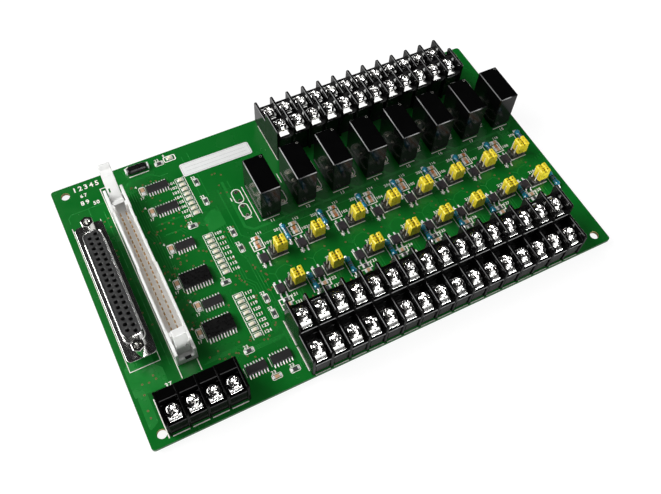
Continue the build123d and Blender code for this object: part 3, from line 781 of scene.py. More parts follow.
def connector_print(ink):
    """Lines along the two plugs, their pin counts, and plain numbers in the corner."""
    ink.line((15.9, 108.9), (15.9, 33.8), (3.1, 33.8), (3.1, 108.9), width=0.3)
    ink.line((23.6, 124.4), (20.9, 124.4), (20.9, 22.5), width=0.36)
    ink.line((29.3, 28.0), (29.3, 22.5), width=0.36)
    ink.numeral(50, 15.8, 117.4, 1.9)
    ink.numeral(37, 13.6, 21.6, 1.9)
    for first, last, x, y, height in (
        (1, 5, 9.4, 127.4, 2.6), (6, 7, 11.6, 123.4, 1.8), (8, 9, 10.6, 119.2, 2.3),
    ):
        for number in range(first, last + 1):
            ink.numeral(number, x + (number - first) * height, y, height)


def channel_print(ink):
    """Outlines and numerals of the two rows of input channels."""
    north = [(-5.4, 63.7), (-0.2, 63.7), (-0.2, 69.0), (-0.9, 69.0), (-0.9, 70.6), (-3.9, 70.6),
             (-3.9, 69.0), (-5.4, 69.0), (-5.4, 63.4)]
    south = [(-6.0, 34.6), (-0.2, 34.6), (-0.2, 37.2), (-6.0, 37.2), (-6.0, 32.2), (-0.2, 32.2)]
    lines = [([(-5.0, 57.1), (-5.0, 61.9)], PRINT_WIDTH), (north, PRINT_WIDTH),
             ([(-5.2, 66.3), (-0.4, 66.3)], 0.22), ([(-4.9, 40.3), (-4.9, 45.5)], PRINT_WIDTH),
             (south, PRINT_WIDTH), ([(9.6, 34.0), (9.6, 38.5)], PRINT_WIDTH)]
    labels = ((101, 0.3, 64.9, 1.4), (201, 6.9, 69.3, 1.4), (111, -1.4, 71.2, 1.3),
              (31, -5.2, 54.6, 1.4), (121, -0.2, 36.4, 1.4), (131, 0.0, 32.5, 1.4),
              (211, 3.0, 46.4, 1.4))
    for k, x in enumerate(CHANNELS_X):
        for y in (CHANNEL_Y, CHANNEL_Y - ROW_STEP):
            ink.line((x, y + 5.4), (x, y), (x + 8.2, y))
        for path, width in lines:
            ink.line(*[(x + east, y) for east, y in path], width=width)
        for number, east, y, height in labels:
            ink.numeral(number + k, x + east, y, height)
    for x, y, _, _ in solids("resistor_bodies"):
        ink.line((x - 1.6, y - 4.2), (x - 1.6, y + 4.2), width=0.24)


def logic_print(ink):
    """Outlines of the chips and lamps of the logic zone, and plain numerals beside them."""
    for x, y, _, _ in solids("bypass_capacitors"):
        ink.box(x, y, 2.8, 4.8, 0.8, width=0.3)
        ink.numeral(17, x - 2.4, y - 4.2, 1.3)
        ink.numeral(4, x - 2.6, y + 2.8, 1.3)
    for x, y, _, size in solids("logic_chips"):
        upright = size.y > size.x
        ink.box(x, y, 2.3 if upright else 4.2, 4.2 if upright else 2.3, 0.5, width=0.26)
        ink.numeral(23, x - 1.6, y + (2.4 if upright else 1.5), 1.4)
    for k, (x, y, _, _) in enumerate(sorted(solids("lamp_banks"), key=lambda s: -s[1])):
        for edge in (x - 2.3, x + 2.3):
            ink.line((edge, y + 1.35), (edge, y - 1.35), width=0.24)
        ink.line((x - 2.3, y + 1.42), (x + 2.3, y + 1.42), width=0.2)
        # The northern bank has its numerals on its west side
        side = -6.1 if k < 8 else 2.9
        ink.numeral(101 + k, x + side, y - 0.7, 1.45)
    for x, y, _, count, span in circuit_rows():
        half = count * LEAD_PITCH / 2 + 0.5
        ink.line((x - half, y - span / 2 + 1.0), (x - half, y + span / 2 - 1.0), width=0.2)
    x, y, _, _ = solids("power_lamp")[0]
    ink.box(x, y, 5.4, 3.0, 0.6)
    ink.numeral(0, x - 2.6, y + 2.0, 1.3)
    x, y, _, _ = solids("fuse_body")[0]
    ink.line((x - 4.8, y - 2.7), (x + 4.8, y - 2.7))
    ink.line((x - 5.6, y + 2.5), (x - 3.2, y + 3.4))


# Terminal strips


def strip_place(name):
    """Place of a strip's own frame: x from the middle of the first fin, y from the outer face."""
    if name == "bottom":
        return shift(STRIP_X + FIN_THICKNESS / 2, EDGE_MARGIN)
    if name == "top":
        return shift(TOP_END - FIN_THICKNESS / 2, BOARD_WIDTH - EDGE_MARGIN) @ turn(180)
    return shift(POWER_X + FIN_THICKNESS / 2, POWER_Y)


def fin_form(two_tier):
    """Fin between two poles, with round top corners and soft edges."""
    if two_tier:
        outline = [(0, 0), (STRIP_DEPTH, 0), (STRIP_DEPTH, HIGH_FIN), (TIER_STEP, HIGH_FIN),
                   (TIER_STEP, LOW_FIN), (0, LOW_FIN)]
        radii = [0.0, 0.0, FIN_RADIUS, FIN_RADIUS, 0.6, FIN_RADIUS]
    else:
        outline = [(0, 0), (POWER_DEPTH, 0), (POWER_DEPTH, LOW_FIN), (0, LOW_FIN)]
        radii = [0.0, 0.0, 0.3, FIN_RADIUS]
    half = FIN_THICKNESS / 2
    form = prism(rounded(outline, radii), -half, half)
    return moved(softened(form, 0.22, 1), ALONG_X)


def core_form(two_tier, poles):
    """Moulding between the fins: walls, decks and the lips along their edges."""
    if two_tier:
        outline = [(0.7, 0), (25.1, 0), (25.1, 13.0), (25.9, 13.0), (25.9, HIGH_DECK),
                   (TIER_STEP, HIGH_DECK), (TIER_STEP, LOW_DECK), (0.15, LOW_DECK), (0.15, 7.8),
                   (0.7, 7.8)]
    else:
        ledge = POWER_DEPTH - POWER_BACK_WALL
        top = LOW_FIN - 0.35
        outline = [(0.7, 0), (POWER_DEPTH, 0), (POWER_DEPTH, top), (ledge, top),
                   (ledge, LOW_DECK), (0.7, LOW_DECK)]
    return moved(softened(prism(outline, 0, poles * POLE_PITCH), 0.2, 1), ALONG_X)


def housing(name, poles, two_tier):
    """Moulding of a strip, with a fin on each side of every pole."""
    place = strip_place(name)
    piece = Piece(HOUSING if two_tier else POWER_HOUSING)
    piece.add(core_form(two_tier, poles), place)
    fin = fin_form(two_tier)
    for pole in range(poles + 1):
        piece.add(fin, place @ shift(pole * POLE_PITCH))
    if two_tier:
        front = slab(POLE_PITCH - FIN_THICKNESS - 1.4, 0.3, 0.8, 6.8, 0.12)
        for pole in range(poles):
            piece.add(front, place @ shift((pole + 0.5) * POLE_PITCH, 0.62))
    node = name + "_terminal_housing"
    piece.finish(node + "_moulding", [node], "terminal_plastic")


def plate_form(length, width, notch):
    """Bent contact plate: flat under the clamp, both ends sloping down to the deck."""
    half = length / 2
    flat_half = half - 2.0
    outline = [(-half + 0.1, 0.0), (-half + 0.45, 0.0), (-flat_half + 0.15, 0.62),
               (flat_half - 0.15, 0.62), (half - 0.45, 0.0), (half - 0.1, 0.0),
               (flat_half, 1.0), (-flat_half, 1.0)]
    form = moved(prism(outline, -width / 2, width / 2), ALONG_X)
    form = softened(form, 0.09, 2)
    if notch:
        tools = [prism(rounded(rectangle(0.9, 0.7, 0.2, side * (flat_half - 0.3)), 0.3, 3), -1, 3)
                 for side in (-1, 1)]
        form = cut(form, *tools)
    return form


def clamp_form():
    """Square wire clamp with its four corners turned down a little."""
    points, faces = slab(6.0, 6.0, 0.0, 0.7, 0.14, 0.7)
    for point in points:
        if point.z > 0.3:
            away = max(0.0, (abs(point.x) + abs(point.y) - 3.6) / 2.0)
            point.z -= 0.1 * away
    return points, faces


def washer_form():
    """Round washer with radial teeth round its rim."""
    rims = zip(polygon(2.95, 18), polygon(3.38, 18, math.pi / 18))
    outline = [point for pair in rims for point in pair]
    return joined(softened(prism(outline, 0.0, 0.36), 0.06, 1), lathe([(2.7, 0.3), (2.6, 0.5)], 28))


def screw_form():
    """Flat-topped head with a rolled rim and a cross recess with sloping walls."""
    head = lathe(
        [(2.7, 0.0), (2.88, 0.1), (2.9, 0.7), (2.8, 1.1), (2.55, 1.4), (2.2, 1.56), (1.5, 1.65),
         (0.02, 1.7)], 36)
    groove = prism([(-0.1, 0.85), (0.1, 0.85), (1.0, 1.9), (-1.0, 1.9)], -2.05, 2.05)
    tools = [moved(groove, turn(degrees) @ ALONG_X) for degrees in (0, 90)]
    pit = lathe([(0.35, 0.4), (0.9, 0.95), (1.55, 1.9)], 8)
    return softened(cut(head, *tools, pit), 0.05, 1, 35)


def contacts(name, plate, clamp, clamp_spin=None):
    """Plates, clamps and screws on every contact of a strip, each where its solid is."""
    node = name + "_terminal_"
    copies(name + "_contact_plates", node + "plates", "plated_metal", [NICKEL], [plate])
    copies(name + "_wire_clamps", node + "clamps", "plated_metal", [NICKEL], [clamp], clamp_spin)
    copies(name + "_screws", node + "screws", "screw_metal", [SCREW], [screw_form()], (0, 90), 40)


def terminal_strips():
    """The three housings with the plates, clamps and screws of their poles."""
    housing("bottom", BOTTOM_POLES, True)
    housing("top", TOP_POLES, True)
    housing("power", POWER_POLES, False)
    plate = plate_form(10.4, 4.6, True)
    clamp = clamp_form()
    contacts("bottom", plate, clamp)
    contacts("top", plate, clamp)
    contacts("power", plate_form(7.2, 5.2, False), washer_form(), (-3, 3))


# Relays


def relays():
    """Sealed cases with soft edges over a foot, and a vent dimple near one top corner."""
    case = slab(RELAY_WIDTH, RELAY_LENGTH, 0.8, RELAY_HEIGHT, 0.36, segments=1)
    case = softened(case, 0.05, 1)
    foot = slab(RELAY_WIDTH - 1.0, RELAY_LENGTH - 1.0, 0.0, 0.9, 0.1)
    dimple = lathe([(0.62, -0.02), (0.62, 0.0), (0.5, 0.004), (0.3, -0.12), (0.02, -0.15)], 20)
    dimple = moved(dimple, shift(3.6, 8.6, RELAY_HEIGHT - 0.002))
    for k in range(RELAY_COUNT):
        node = f"relay_{k + 1}"
        copies(node + "_case", node, "relay_plastic", [RELAY, WHITE],
               [joined(case, foot), dimple])


# 37-way connector


def shell_outline(length, width, corner):
    """D-shaped outline along Y with its wide side at +X."""
    taper = 1.4 * width / SHELL_WIDTH
    half_x = width / 2
    half_y = length / 2
    corners = [(half_x, -half_y), (half_x, half_y), (-half_x, half_y - taper),
               (-half_x, taper - half_y)]
    return rounded(corners, corner, 6)


def socket_places():
    """Sockets of the insert from its middle, in rows of 18 and 19."""
    places = []
    for x, count in zip(steps(2, SOCKET_ROW_GAP), (18, 19)):
        places += [(x, y) for y in steps(count, SOCKET_PITCH)]
    return places


def connector():
    """Foot, drawn shell, socket insert and jackscrews."""
    place = shift(CONNECTOR_X, CONNECTOR_Y)
    connector_foot(place)
    connector_shell(place)
    connector_insert(place)
    connector_jacks(place)


def connector_foot(place):
    base = Piece(BASE)
    base.add(slab(11.0, 62.0, 0.0, 5.35, 0.25, 0.4), place)
    for side in (-1, 1):
        base.add(slab(9.0, 7.0, 0.0, 5.35, 0.2, 0.3), place @ shift(y=side * 27.4))
    base.finish("connector_foot", ["connector_base"], "base_plastic")


def connector_shell(place):
    """Flange with an opening, the D-shaped wall over it, and a skirt where they meet."""
    shell = Piece(FLANGE)
    outer = shell_outline(SHELL_LENGTH, SHELL_WIDTH, 2.6)
    inner = shell_outline(SHELL_LENGTH - 2 * SHELL_WALL, SHELL_WIDTH - 2 * SHELL_WALL, 2.1)
    plate = prism(rounded(rectangle(FLANGE_WIDTH, FLANGE_LENGTH), 1.9, 5), 5.4, 6.1)
    shell.add(softened(cut(plate, prism(inner, 5.0, 7.0)), 0.12, 2, 50), place)
    wall = [level(outer, 6.0), level(outer, 12.0), level(inner, 12.0), level(inner, 6.0)]
    shell.add(softened(stacked(wall, caps=False, around=True), 0.18, 1, 50), place)
    foot = shell_outline(SHELL_LENGTH + 0.7, SHELL_WIDTH + 0.7, 2.95)
    skirt = [level(foot, 6.12), level(outer, 6.5)]
    shell.add(stacked(skirt, caps=False), place)
    shell.finish("connector_shell_drawn", ["connector_shell"], "shell_metal")


def connector_insert(place):
    """Block with countersunk sockets, with painted shade at their bottoms."""
    insert = Piece(INSERT, PAINTED_SHADE)
    block = prism(shell_outline(54.3, 7.3, 2.05), 5.4, 11.7)
    spots = socket_places()
    holes = [moved(lathe([(0.82, 9.7), (0.82, 11.3), (1.12, 12.0)], 14), shift(x, y))
             for x, y in spots]
    insert.add(softened(cut(block, *holes), 0.05, 1, 50), place)
    # Dark discs at the socket bottoms: painted shade
    for x, y in spots:
        insert.add(flat(polygon(0.86, 12)), place @ shift(x, y, 9.75), 1)
    insert.finish("connector_insert_sockets", ["connector_insert"], "base_plastic")


def connector_jacks(place):
    """Hexagonal jackscrews, each with a threaded bore."""
    jacks = Piece(SCREW, PAINTED_SHADE)
    hexagon = polygon(2.5 / math.cos(math.pi / 6), 6, math.pi / 6)
    body = softened(prism(hexagon, 6.1, 12.4), 0.22, 2)
    bore = lathe([(1.15, 8.2), (1.15, 12.0), (1.5, 12.6)], 20)
    body = cut(body, bore)
    for side in (-1, 1):
        at = place @ shift(0, side * JACK_Y)
        jacks.add(body, at)
        # A dark disc deep in the bore: painted shade
        jacks.add(flat(polygon(1.2, 16)), at @ shift(z=8.4), 1)
        for k in range(6):
            jacks.add(ring(0.95, 1.16, 18), at @ shift(z=9.0 + 0.5 * k))
    jacks.finish("connector_jacks", ["connector_jackscrews"], "screw_metal")


# 50-way box header


def box_header():
    """Trough, pins and the two latches."""
    header_trough(shift(HEADER_X, HEADER_Y))
    shaft = prism(rectangle(0.62, 0.62), 0.0, 3.2)
    tip = softened(tapered(prism(rectangle(0.64, 0.64), 3.2, 5.2), 0.55), 0.05, 1)
    # The pale pin shafts carry a painted reflection
    copies("header_pin_field", "header_pins", "gold_metal", [GOLD_PAINTED_REFLECTION, GOLD], [shaft, tip])
    latch("north", 45.0, 0.0)
    latch("south", 0.0, 180.0)


def header_trough(place):
    """Walls with thicker ends and ribs, a floor, and a notched sill and two pillars at each end."""
    shroud = Piece(SHROUD, PAINTED_SHADE)
    half = HEADER_WIDTH / 2
    end = HEADER_LENGTH / 2
    wall = slab(1.05, end - 12.0, 0.0, 9.3, 0.22)
    ear = slab(1.25, 12.6, 0.0, 9.3, 0.22)
    for side in (-1, 1):
        shroud.add(wall, place @ shift(side * (half - 0.53), 6.0 - end / 2))
        shroud.add(wall, place @ shift(side * (half - 0.85), end / 2 - 6.0))
        for tip in (-1, 1):
            shroud.add(ear, place @ shift(side * (half - 0.63), tip * (end - 6.3)))
    shroud.add(slab(HEADER_WIDTH - 0.6, HEADER_LENGTH, 0.0, 2.2, 0.15), place)
    pillar = slab(0.9, 2.2, 2.2, 9.1, 0.15)
    for tip in (-1, 1):
        sill = prism(rectangle(6.5, 1.4), 2.0, 3.6)
        notch = prism(rounded(rectangle(2.8, 3.0, 0.6, -tip * 0.2), 0.9, 4), 2.4, 5.0)
        shroud.add(softened(cut(sill, notch), 0.1, 1), place @ shift(0, tip * (end - 0.7)))
        # Dark floor of the notch: painted shade
        shroud.add(flat(rectangle(2.8, 1.4)), place @ shift(0.6, tip * (end - 0.75), 2.42), 1)
        for x in (-2.7, 2.7):
            shroud.add(pillar, place @ shift(x, tip * (end - 9.9)))
    # Dark strip inside the east wall at the north end, beside the open latch: painted shade of the
    # gap
    shroud.add(slab(0.2, 9.5, 2.3, 6.5, 0.01), place @ shift(3.27, end - 6.5), 1)
    for y in steps(5, 13.0):
        shroud.add(slab(0.5, 0.9, 0.2, 7.6, 0.1), place @ shift(half - 0.25, y))
    shroud.finish("header_trough", ["header_shroud"], "shroud_plastic")


def latch_form():
    """Closed latch about its pivot: an arm with a hooked tip and a foot towards -Y."""
    outline = [(-4.6, -0.8), (1.3, -0.8), (1.3, 15.0), (2.15, 17.5), (-1.3, 17.5), (-2.1, 15.0),
               (-1.3, 12.4), (-1.3, 0.8), (-4.6, 0.8)]
    radii = [0.3, 0.6, 0.8, 0.5, 0.7, 0.4, 0.6, 1.0, 0.3]
    arm = softened(prism(rounded(outline, radii), -2.7, 2.7), 0.28, 2)
    arm = moved(arm, ALONG_X)
    window = prism(rounded(rectangle(0.8, 2.2), 0.3, 3), -4.0, 4.0)
    arm = cut(arm, moved(window, shift(-1.5, 0, 5.5) @ turn(90, "X")))
    boss = moved(lathe([(0.8, -3.15), (0.8, 3.15)], 20), turn(90, "Y"))
    return joined(arm, boss)


def latch(side, tilt, facing):
    """One latch as the photograph shows it, TILT degrees open, on a body of its own."""
    sign = 1 if side == "north" else -1
    end = HEADER_LENGTH / 2 - PIVOT_INSET
    pivot = shift(HEADER_X, HEADER_Y + sign * end, PIVOT_HEIGHT)
    piece = Piece(LATCH)
    piece.add(latch_form(), pivot @ turn(-tilt * sign, "X") @ turn(facing))
    node = "latch_" + side
    piece.finish(node + "_arm", [node], "shroud_plastic", side + "_latch")


# Circuits


def gull_lead(body_half, reach, shoulder):
    """Flat lead that leaves the body along +Y, turns down and ends in a foot on its pad."""
    thick = 0.2
    knee = body_half + 0.35
    outline = [(body_half - 0.1, shoulder - thick), (knee, shoulder - thick),
               (knee + 0.15, 0.05), (reach, 0.05), (reach, 0.05 + thick),
               (knee + 0.15 + thick, 0.05 + thick), (knee + thick, shoulder),
               (body_half - 0.1, shoulder)]
    radii = [0, 0.1, 0.08, 0, 0, 0.12, 0.22, 0]
    form = prism(rounded(outline, radii, 2), -0.2, 0.2)
    return moved(softened(form, 0.04, 1), ALONG_X)


def circuit_body(length, width, height, soft=0.1):
    """Moulded body, drafted above and below its lead line."""
    half = width / 2
    outline = [(0.12 - half, 0.15), (half - 0.12, 0.15), (half, height * 0.55),
               (half - 0.12, height), (0.12 - half, height), (-half, height * 0.55)]
    form = softened(prism(outline, -length / 2, length / 2), soft, 2)
    return moved(form, ALONG_X)


def add_legs(piece, x, y, row, lead, joint, reach):
    """Leads and their solder on both sides of a body, at the steps of ROW along it."""
    for step in row:
        for degrees in (0, 180):
            at = shift(x, y) @ turn(degrees) @ shift(step)
            piece.add(lead, at)
            piece.add(joint, at @ shift(0, reach), 1)


def circuits():
    """Wide and narrow circuits, each with a round dimple and a groove at its west end, both drawn
    as painted shade.
    """
    leads = Piece(TIN, SOLDER)
    wide = Piece(GLOSS_COMPOUND, PAINTED_SHADE)
    narrow = Piece(COMPOUND, PAINTED_SHADE)
    shaded_dimple = lathe([(0.42, 0.0), (0.4, 0.012), (0.02, 0.006)], 16)
    joint = slab(0.5, 0.75, 0.04, 0.2, 0.08)
    for x, y, size, count, span in circuit_rows():
        piece = wide if span == WIDE_SPAN else narrow
        height = size.z + 0.15
        west = x - size.x / 2
        piece.add(circuit_body(size.x, size.y, height), shift(x, y))
        # Dark disc for the dimple and dark block for the groove: painted shade
        piece.add(shaded_dimple, shift(west + 1.0, y - size.y / 2 + 0.95, height - 0.004), 1)
        groove = slab(0.35, 1.1, height - 0.2, height + 0.001, 0.05)
        piece.add(groove, shift(west + 0.16, y), 1)
        lead = gull_lead(size.y / 2, span / 2, height * 0.62)
        add_legs(leads, x, y, steps(count, LEAD_PITCH), lead, joint, span / 2 - 0.32)
    wide.finish("wide_circuit_mouldings", ["wide_circuit_bodies"], "circuit_plastic")
    narrow.finish("narrow_circuit_mouldings", ["narrow_circuit_bodies"], "circuit_plastic")
    leads.finish("circuit_leads", ["wide_circuit_leads", "narrow_circuit_leads"], "tinned_metal")


def couplers():
    """Four-lead optocouplers with wide leads and a dimple."""
    bodies = Piece(PURPLE, PAINTED_SHADE)
    leads = Piece(TIN, SOLDER)
    lead = moved(gull_lead(2.2, 3.7, 1.3), Matrix.Diagonal((1.3, 1, 1, 1)))
    joint = slab(0.75, 1.7, 0.04, 0.26, 0.1)
    for x, y, _, size in solids("optocoupler_bodies"):
        bodies.add(circuit_body(size.x, size.y, size.z, 0.14), shift(x, y))
        # Dark disc for the dimple: painted shade
        bodies.add(lathe([(0.4, 0.0), (0.38, 0.01), (0.02, 0.006)], 14),
                   shift(x - 1.0, y - 1.5, size.z - 0.004), 1)
        add_legs(leads, x, y, steps(2, PIN_PITCH), lead, joint, 3.55)
    bodies.finish("optocoupler_mouldings", ["optocoupler_bodies"], "circuit_plastic")
    leads.finish("optocoupler_legs", ["optocoupler_leads"], "tinned_metal")


# Jumpers and resistors


def jumpers():
    """Bases of two by three cells, their posts, and two shunts on each."""
    cell = slab(2.52, 2.5, 0.0, 2.5, 0.12, 0.45, 2, 1)
    cells = [moved(cell, shift(x, y)) for x in steps(3, PIN_PITCH) for y in steps(2, PIN_PITCH)]
    copies("jumper_blocks", "jumper_bases", "base_plastic", [BASE], [joined(*cells)])

    pin = softened(tapered(prism(rectangle(0.52, 0.52), 0.0, 6.4), 0.5), 0.05, 1)
    # The pale posts carry a painted reflection
    copies("jumper_posts", "jumper_pins", "gold_metal", [GOLD_PAINTED_REFLECTION], [pin])

    outline = [(-2.5, 0.0), (2.5, 0.0), (2.5, 6.4), (0.65, 6.4), (0.4, 5.5), (-0.4, 5.5),
               (-0.65, 6.4), (-2.5, 6.4)]
    radii = [0.2, 0.2, 0.5, 0.3, 0.1, 0.1, 0.3, 0.5]
    cap = softened(prism(rounded(outline, radii, 3), -1.2, 1.2), 0.18, 2)
    cap = moved(cap, ALONG_Y)
    holes = [prism(rectangle(0.85, 0.85, x), 5.2, 7.0) for x in steps(2, PIN_PITCH)]
    window = prism(rectangle(1.0, 3.4), 1.8, 2.6)
    notch = prism(rectangle(1.1, 1.0, 0.0, 1.2), 4.0, 7.0)
    cap = cut(cap, *holes, window, notch)
    # Dark brown floors in the pin holes and dark pits in the groove: painted shade
    shaded_hole_floors = [moved(flat(rectangle(0.86, 0.86)), shift(x, 0, 5.25)) for x in steps(2, PIN_PITCH)]
    shade_pits = [moved(flat(rectangle(0.9, 0.62)), shift(0, y, 5.54)) for y in (-0.8, 0.3)]
    copies("jumper_caps", "jumper_shunts", "shunt_plastic", [YELLOW, HOLLOW_SHADE, PAINTED_SHADE],
           [cap, joined(*shaded_hole_floors), joined(*shade_pits)])


def resistors():
    """Blue bodies with round swollen ends and colour bands, on bent wires."""
    bodies = Piece(BLUE, BAND_DARK, BAND_BROWN)
    profile = [(0.3, -4.4), (1.0, -4.3), (1.28, -3.9), (1.32, -3.2), (1.08, -2.5), (1.0, -1.7),
               (1.0, 1.3), (1.08, 1.9), (1.32, 2.6), (1.28, 3.3), (1.0, 3.7), (0.3, 3.8)]
    parts = [(lathe(profile, 24), 0)]
    for z, kind in ((-1.5, 1), (-0.5, 2), (0.5, 1)):
        parts.append((lathe([(1.015, z - 0.22), (1.015, z + 0.22)], 24), kind))
    wires = Piece(TIN, SOLDER)
    path = [(3.6, RESISTOR_LIFT), (4.6, RESISTOR_LIFT), (5.1, 1.3), (5.35, 1.0),
            (RESISTOR_FOOT, 0.6), (RESISTOR_FOOT, 0.0)]
    wire = sweep([(0, y, z) for y, z in path], 0.27)
    joint = lathe([(0.75, 0.02), (0.6, 0.12), (0.4, 0.3), (0.28, 0.5)], 16)
    for x, y, _, _ in solids("resistor_bodies"):
        for form, kind in parts:
            bodies.add(form, shift(x, y, RESISTOR_LIFT) @ turn(90, "X"), kind)
        for degrees in (0, 180):
            at = shift(x, y) @ turn(degrees)
            wires.add(wire, at)
            wires.add(joint, at @ shift(0, RESISTOR_FOOT), 1)
    bodies.finish("resistor_forms", ["resistor_bodies"], "resistor_lacquer")
    wires.finish("resistor_legs", ["resistor_wires"], "tinned_metal")


# Small chips, lamps, fuse and label


def chip(piece, x, y, size, kind, upright):
    """Small chip: a body between two plated end caps, on fillets of solder."""
    length = size.y if upright else size.x
    width = size.x if upright else size.y
    place = shift(x, y) @ turn(90 if upright else 0)
    piece.add(slab(length - 0.9, width - 0.04, 0.05, size.z, 0.05), place, kind)
    cap = slab(0.55, width, 0.04, size.z, 0.1)
    fillet = slab(0.5, width + 0.1, 0.03, 0.2, 0.08)
    for side in (-1, 1):
        piece.add(cap, place @ shift(side * (length / 2 - 0.28)))
        piece.add(fillet, place @ shift(side * (length / 2 + 0.2)))


def chips():
    """Small chips, each with a body of film or of one of two ceramics by its place."""
    channel = Piece(TIN, ORANGE, GREY, BROWN)
    for k, (x, y, _, size) in enumerate(solids("channel_chips")):
        kind = (1, 3)[k % 2] if y > 50 else (3, 2)[k % 2]
        chip(channel, x, y, Vector((size.x * 1.2, size.y * 1.35, size.z)), kind, False)
    channel.finish("channel_chip_set", ["channel_chips"], "chip_ceramic")
    logic = Piece(TIN, GREY, BROWN)
    brown_row = 6.7
    for x, y, _, size in solids("logic_chips"):
        kind = 2 if abs(y - brown_row) < 0.2 else 1
        chip(logic, x, y, size, kind, size.y > size.x)
    logic.finish("logic_chip_set", ["logic_chips"], "chip_ceramic")
    caps = Piece(TIN, BROWN)
    for x, y, _, size in solids("bypass_capacitors"):
        chip(caps, x, y, size, 1, True)
    caps.finish("bypass_capacitor_set", ["bypass_capacitors"], "chip_ceramic")


def lamp(piece, x, y, size):
    """Lamp: a thin plated base, a clear raised lens with drafted sides, and end pads."""
    place = shift(x, y)
    piece.add(slab(size.x, size.y, 0.02, 0.34, 0.05), place, 1)
    end = slab(0.62, size.y - 0.1, 0.02, 0.37, 0.05)
    for side in (-1, 1):
        piece.add(end, place @ shift(side * (size.x / 2 - 0.31)), 2)
    lens = tapered(prism(rectangle(2.05, size.y - 0.08), 0.3, size.z), 0.82, 0.86)
    piece.add(softened(lens, 0.16, 2), place)


def lamps():
    """The lamps of the three banks, and the power lamp."""
    for name, node in (("lamp_set", "lamp_banks"), ("power_lamp_form", "power_lamp")):
        piece = Piece(LENS, WHITE, TIN)
        for x, y, _, size in solids(node):
            lamp(piece, x, y, size)
        piece.finish(name, [node], "lamp_resin")


def fuse():
    """Fuse body with rounded corners, and the caps that it is soldered by."""
    x, y, _, size = solids("fuse_body")[0]
    body = Piece(GLOSS_COMPOUND)
    outline = rounded(rectangle(size.x, size.y * 0.86), size.y / 2 - 0.4, 8)
    body.add(softened(prism(outline, 0.05, size.z * 0.9), 0.5, 1), shift(x, y))
    body.finish("fuse_moulding", ["fuse_body"], "fuse_plastic")
    caps = Piece(TIN)
    for cap_x, cap_y, _, cap in solids("fuse_caps"):
        caps.add(slab(cap.x, cap.y, 0.02, cap.z, 0.2), shift(cap_x, cap_y))
    caps.finish("fuse_ends", ["fuse_caps"], "tinned_metal")


def label():
    """Blank white sticker with a thin frame and two ruled lines."""
    piece = Piece(PAPER, RULE)
    place = shift(LABEL_X, LABEL_Y) @ turn(-0.9)
    piece.add(slab(34.7, 7.5, 0.02, 0.12, 0.03, 1.2, 5, 1), place)
    frame_line = rounded(rectangle(33.4, 6.2), 0.7, 4)
    piece.add(ribbon(frame_line, 0.12, True), place @ shift(z=0.125), 1)
    for y in (-1.0, 1.0):
        piece.add(ribbon([(-15.2, y), (15.2, y)], 0.1), place @ shift(z=0.125), 1)
    piece.finish("label_sheet", ["label_sticker"], "label_paper")


# Underside


def underside():
    """Soldered tails of everything that passes through the board."""
    piece = Piece(SOLDER, PAD)
    top = -BOARD_THICKNESS
    big = lathe([(0.02, -1.5), (0.22, -1.46), (0.32, -1.1), (0.42, -0.6), (0.7, -0.22),
                 (1.05, 0.0)], 16)
    for x, y, _, _ in solids("solder_joints"):
        piece.add(big, shift(x, y, top))
    small = lathe([(0.02, -1.3), (0.2, -1.25), (0.28, -0.7), (0.42, -0.25), (0.72, 0.0)], 12)
    places = [(x, y) for x, y, _, _ in solids("header_pins")]
    for x, y, _, _ in solids("jumper_bases"):
        places += [(x + a, y + b) for a in steps(3, PIN_PITCH) for b in steps(2, PIN_PITCH)]
    places += [(CONNECTOR_X + x, CONNECTOR_Y + y) for x, y in socket_places()]
    places += resistor_pads()
    for x, y in places:
        piece.add(small, shift(x, y, top))
    pad = moved(ring(0.22, 0.45, 10), turn(180, "X"))
    for x, y in via_places():
        piece.add(pad, shift(x, y, top - 0.02), 1)
    piece.finish("solder_side", ["solder_joints"], "tinned_metal")


# Camera, light and floor


def camera():
    """Camera fitted to the photograph, from its place and its three axes."""
    lens = bpy.data.cameras.new("camera")
    lens.lens = 41.935
    lens.sensor_width = 36.0
    lens.sensor_fit = "HORIZONTAL"
    lens.clip_start = 0.01
    lens.clip_end = 20.0
    holder = new_object("camera", lens)
    right = Vector((0.88941, -0.45506, 0.04318))
    up = Vector((0.37109, 0.77397, 0.51309))
    back = Vector((-0.26690, -0.44032, 0.85725))
    axes = Matrix((right, up, back)).transposed().to_4x4()
    holder.matrix_world = Matrix.Translation((-0.09879, -0.16524, 0.29480)) @ axes
    bpy.context.scene.camera = holder


def softbox(name, direction, width, height, power, diffuse=True, glossy=True):
    """Area light facing the board's middle, its sizes and power given for one metre away."""
    light = bpy.data.lights.new(name, "AREA")
    light.shape = "RECTANGLE"
    light.size = width * LAMP_DISTANCE
    light.size_y = height * LAMP_DISTANCE
    light.energy = power * LAMP_DISTANCE ** 2
    holder = new_object(name, light)
    where = Vector(direction).normalized() * LAMP_DISTANCE
    holder.location = where
    holder.rotation_mode = "QUATERNION"
    holder.rotation_quaternion = (-where).to_track_quat("-Z", "Y")
    holder.visible_diffuse = diffuse
    holder.visible_glossy = glossy


def mix_shader(tree, share, first, second):
    """Mix of two shader nodes by a socket that is 0 or 1."""
    mix = add_node(tree, "MixShader", Fac=share)
    feed(mix.inputs[1], first.outputs[0])
    feed(mix.inputs[2], second.outputs[0])
    return mix


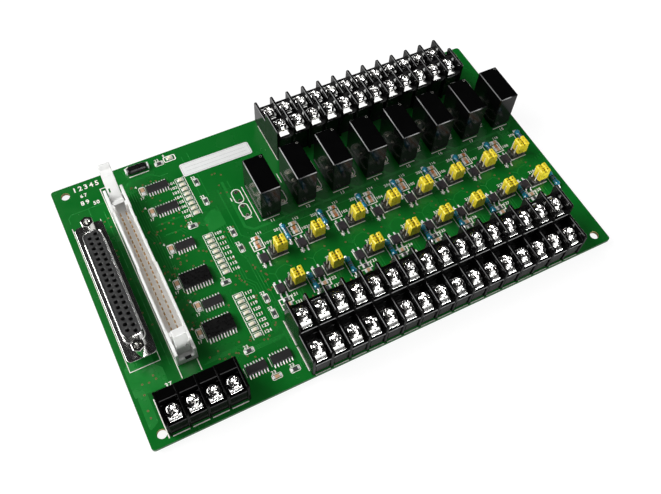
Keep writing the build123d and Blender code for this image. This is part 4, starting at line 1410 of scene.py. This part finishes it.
def world():
    """White to the camera, soft grey to matt surfaces, and a dark room over a pale horizon to
    glossy ones."""
    studio = bpy.data.worlds.new("studio")
    bpy.context.scene.world = studio
    studio.use_nodes = True
    tree = studio.node_tree
    tree.nodes.clear()
    place = add_node(tree, "TexCoord").outputs["Generated"]
    parts = add_node(tree, "SeparateXYZ", Vector=place).outputs
    side = add_node(tree, "MapRange", Value=parts["Y"], From_Min=0.3, From_Max=-0.3,
                    To_Min=CEILING_GLOW, To_Max=HORIZON_GLOW)
    height = add_node(tree, "MapRange", Value=parts["Z"], From_Min=0.24, From_Max=0.12,
                      To_Min=CEILING_GLOW, To_Max=side.outputs["Result"])
    mirrored = add_node(tree, "Background", Strength=height.outputs["Result"])
    ambient = add_node(tree, "Background", Strength=AMBIENT_GLOW)
    seen = add_node(tree, "Background", Color=(1.0, 1.0, 1.0, 1.0))
    rays = add_node(tree, "LightPath").outputs
    around = mix_shader(tree, rays["Is Glossy Ray"], ambient, mirrored)
    mix = mix_shader(tree, rays["Is Camera Ray"], around, seen)
    add_node(tree, "OutputWorld", Surface=mix.outputs[0])


def floor():
    """Plain white floor that keeps a faint shadow of the board."""
    material = bpy.data.materials.new("floor_white")
    material.use_nodes = True
    tree = material.node_tree
    tree.nodes.clear()
    matte = add_node(tree, "BsdfDiffuse", Color=(0.8, 0.8, 0.8, 1.0))
    shaded = add_node(tree, "BsdfDiffuse", Color=(0.16, 0.16, 0.16, 1.0))
    seen = add_node(tree, "AddShader")
    feed(seen.inputs[0], shaded.outputs[0])
    feed(seen.inputs[1], add_node(tree, "Emission", Strength=0.9).outputs[0])
    camera_ray = add_node(tree, "LightPath").outputs["Is Camera Ray"]
    mix = mix_shader(tree, camera_ray, matte, seen)
    add_node(tree, "OutputMaterial", Surface=mix.outputs[0])
    mesh = bpy.data.meshes.new("floor")
    mesh.from_pydata(level(rectangle(6.0, 6.0), cad_low.z - 0.0005), [], [[0, 1, 2, 3]])
    mesh.materials.append(material)
    new_object("floor", mesh)


camera()
world()
floor()
softbox("key_west", (-0.64, 0.42, 0.64), 0.8, 0.5, 11.0)
softbox("high_south", (0.25, -0.45, 0.87), 0.9, 0.44, 1.7, diffuse=False)
softbox("fill_south", (0.10, -1.0, 0.16), 0.9, 0.3, 8.0, glossy=False)
softbox("low_south", (0.22, -0.87, 0.40), 0.9, 0.3, 15.0, diffuse=False)
softbox("low_west", (-0.86, 0.38, 0.27), 0.9, 0.32, 15.0, diffuse=False)
dress_board()
copper()
pads()
board_print()
terminal_strips()
relays()
connector()
box_header()
circuits()
couplers()
jumpers()
resistors()
chips()
lamps()
fuse()
label()
underside()

bpy.context.scene.view_settings.view_transform = "Standard"
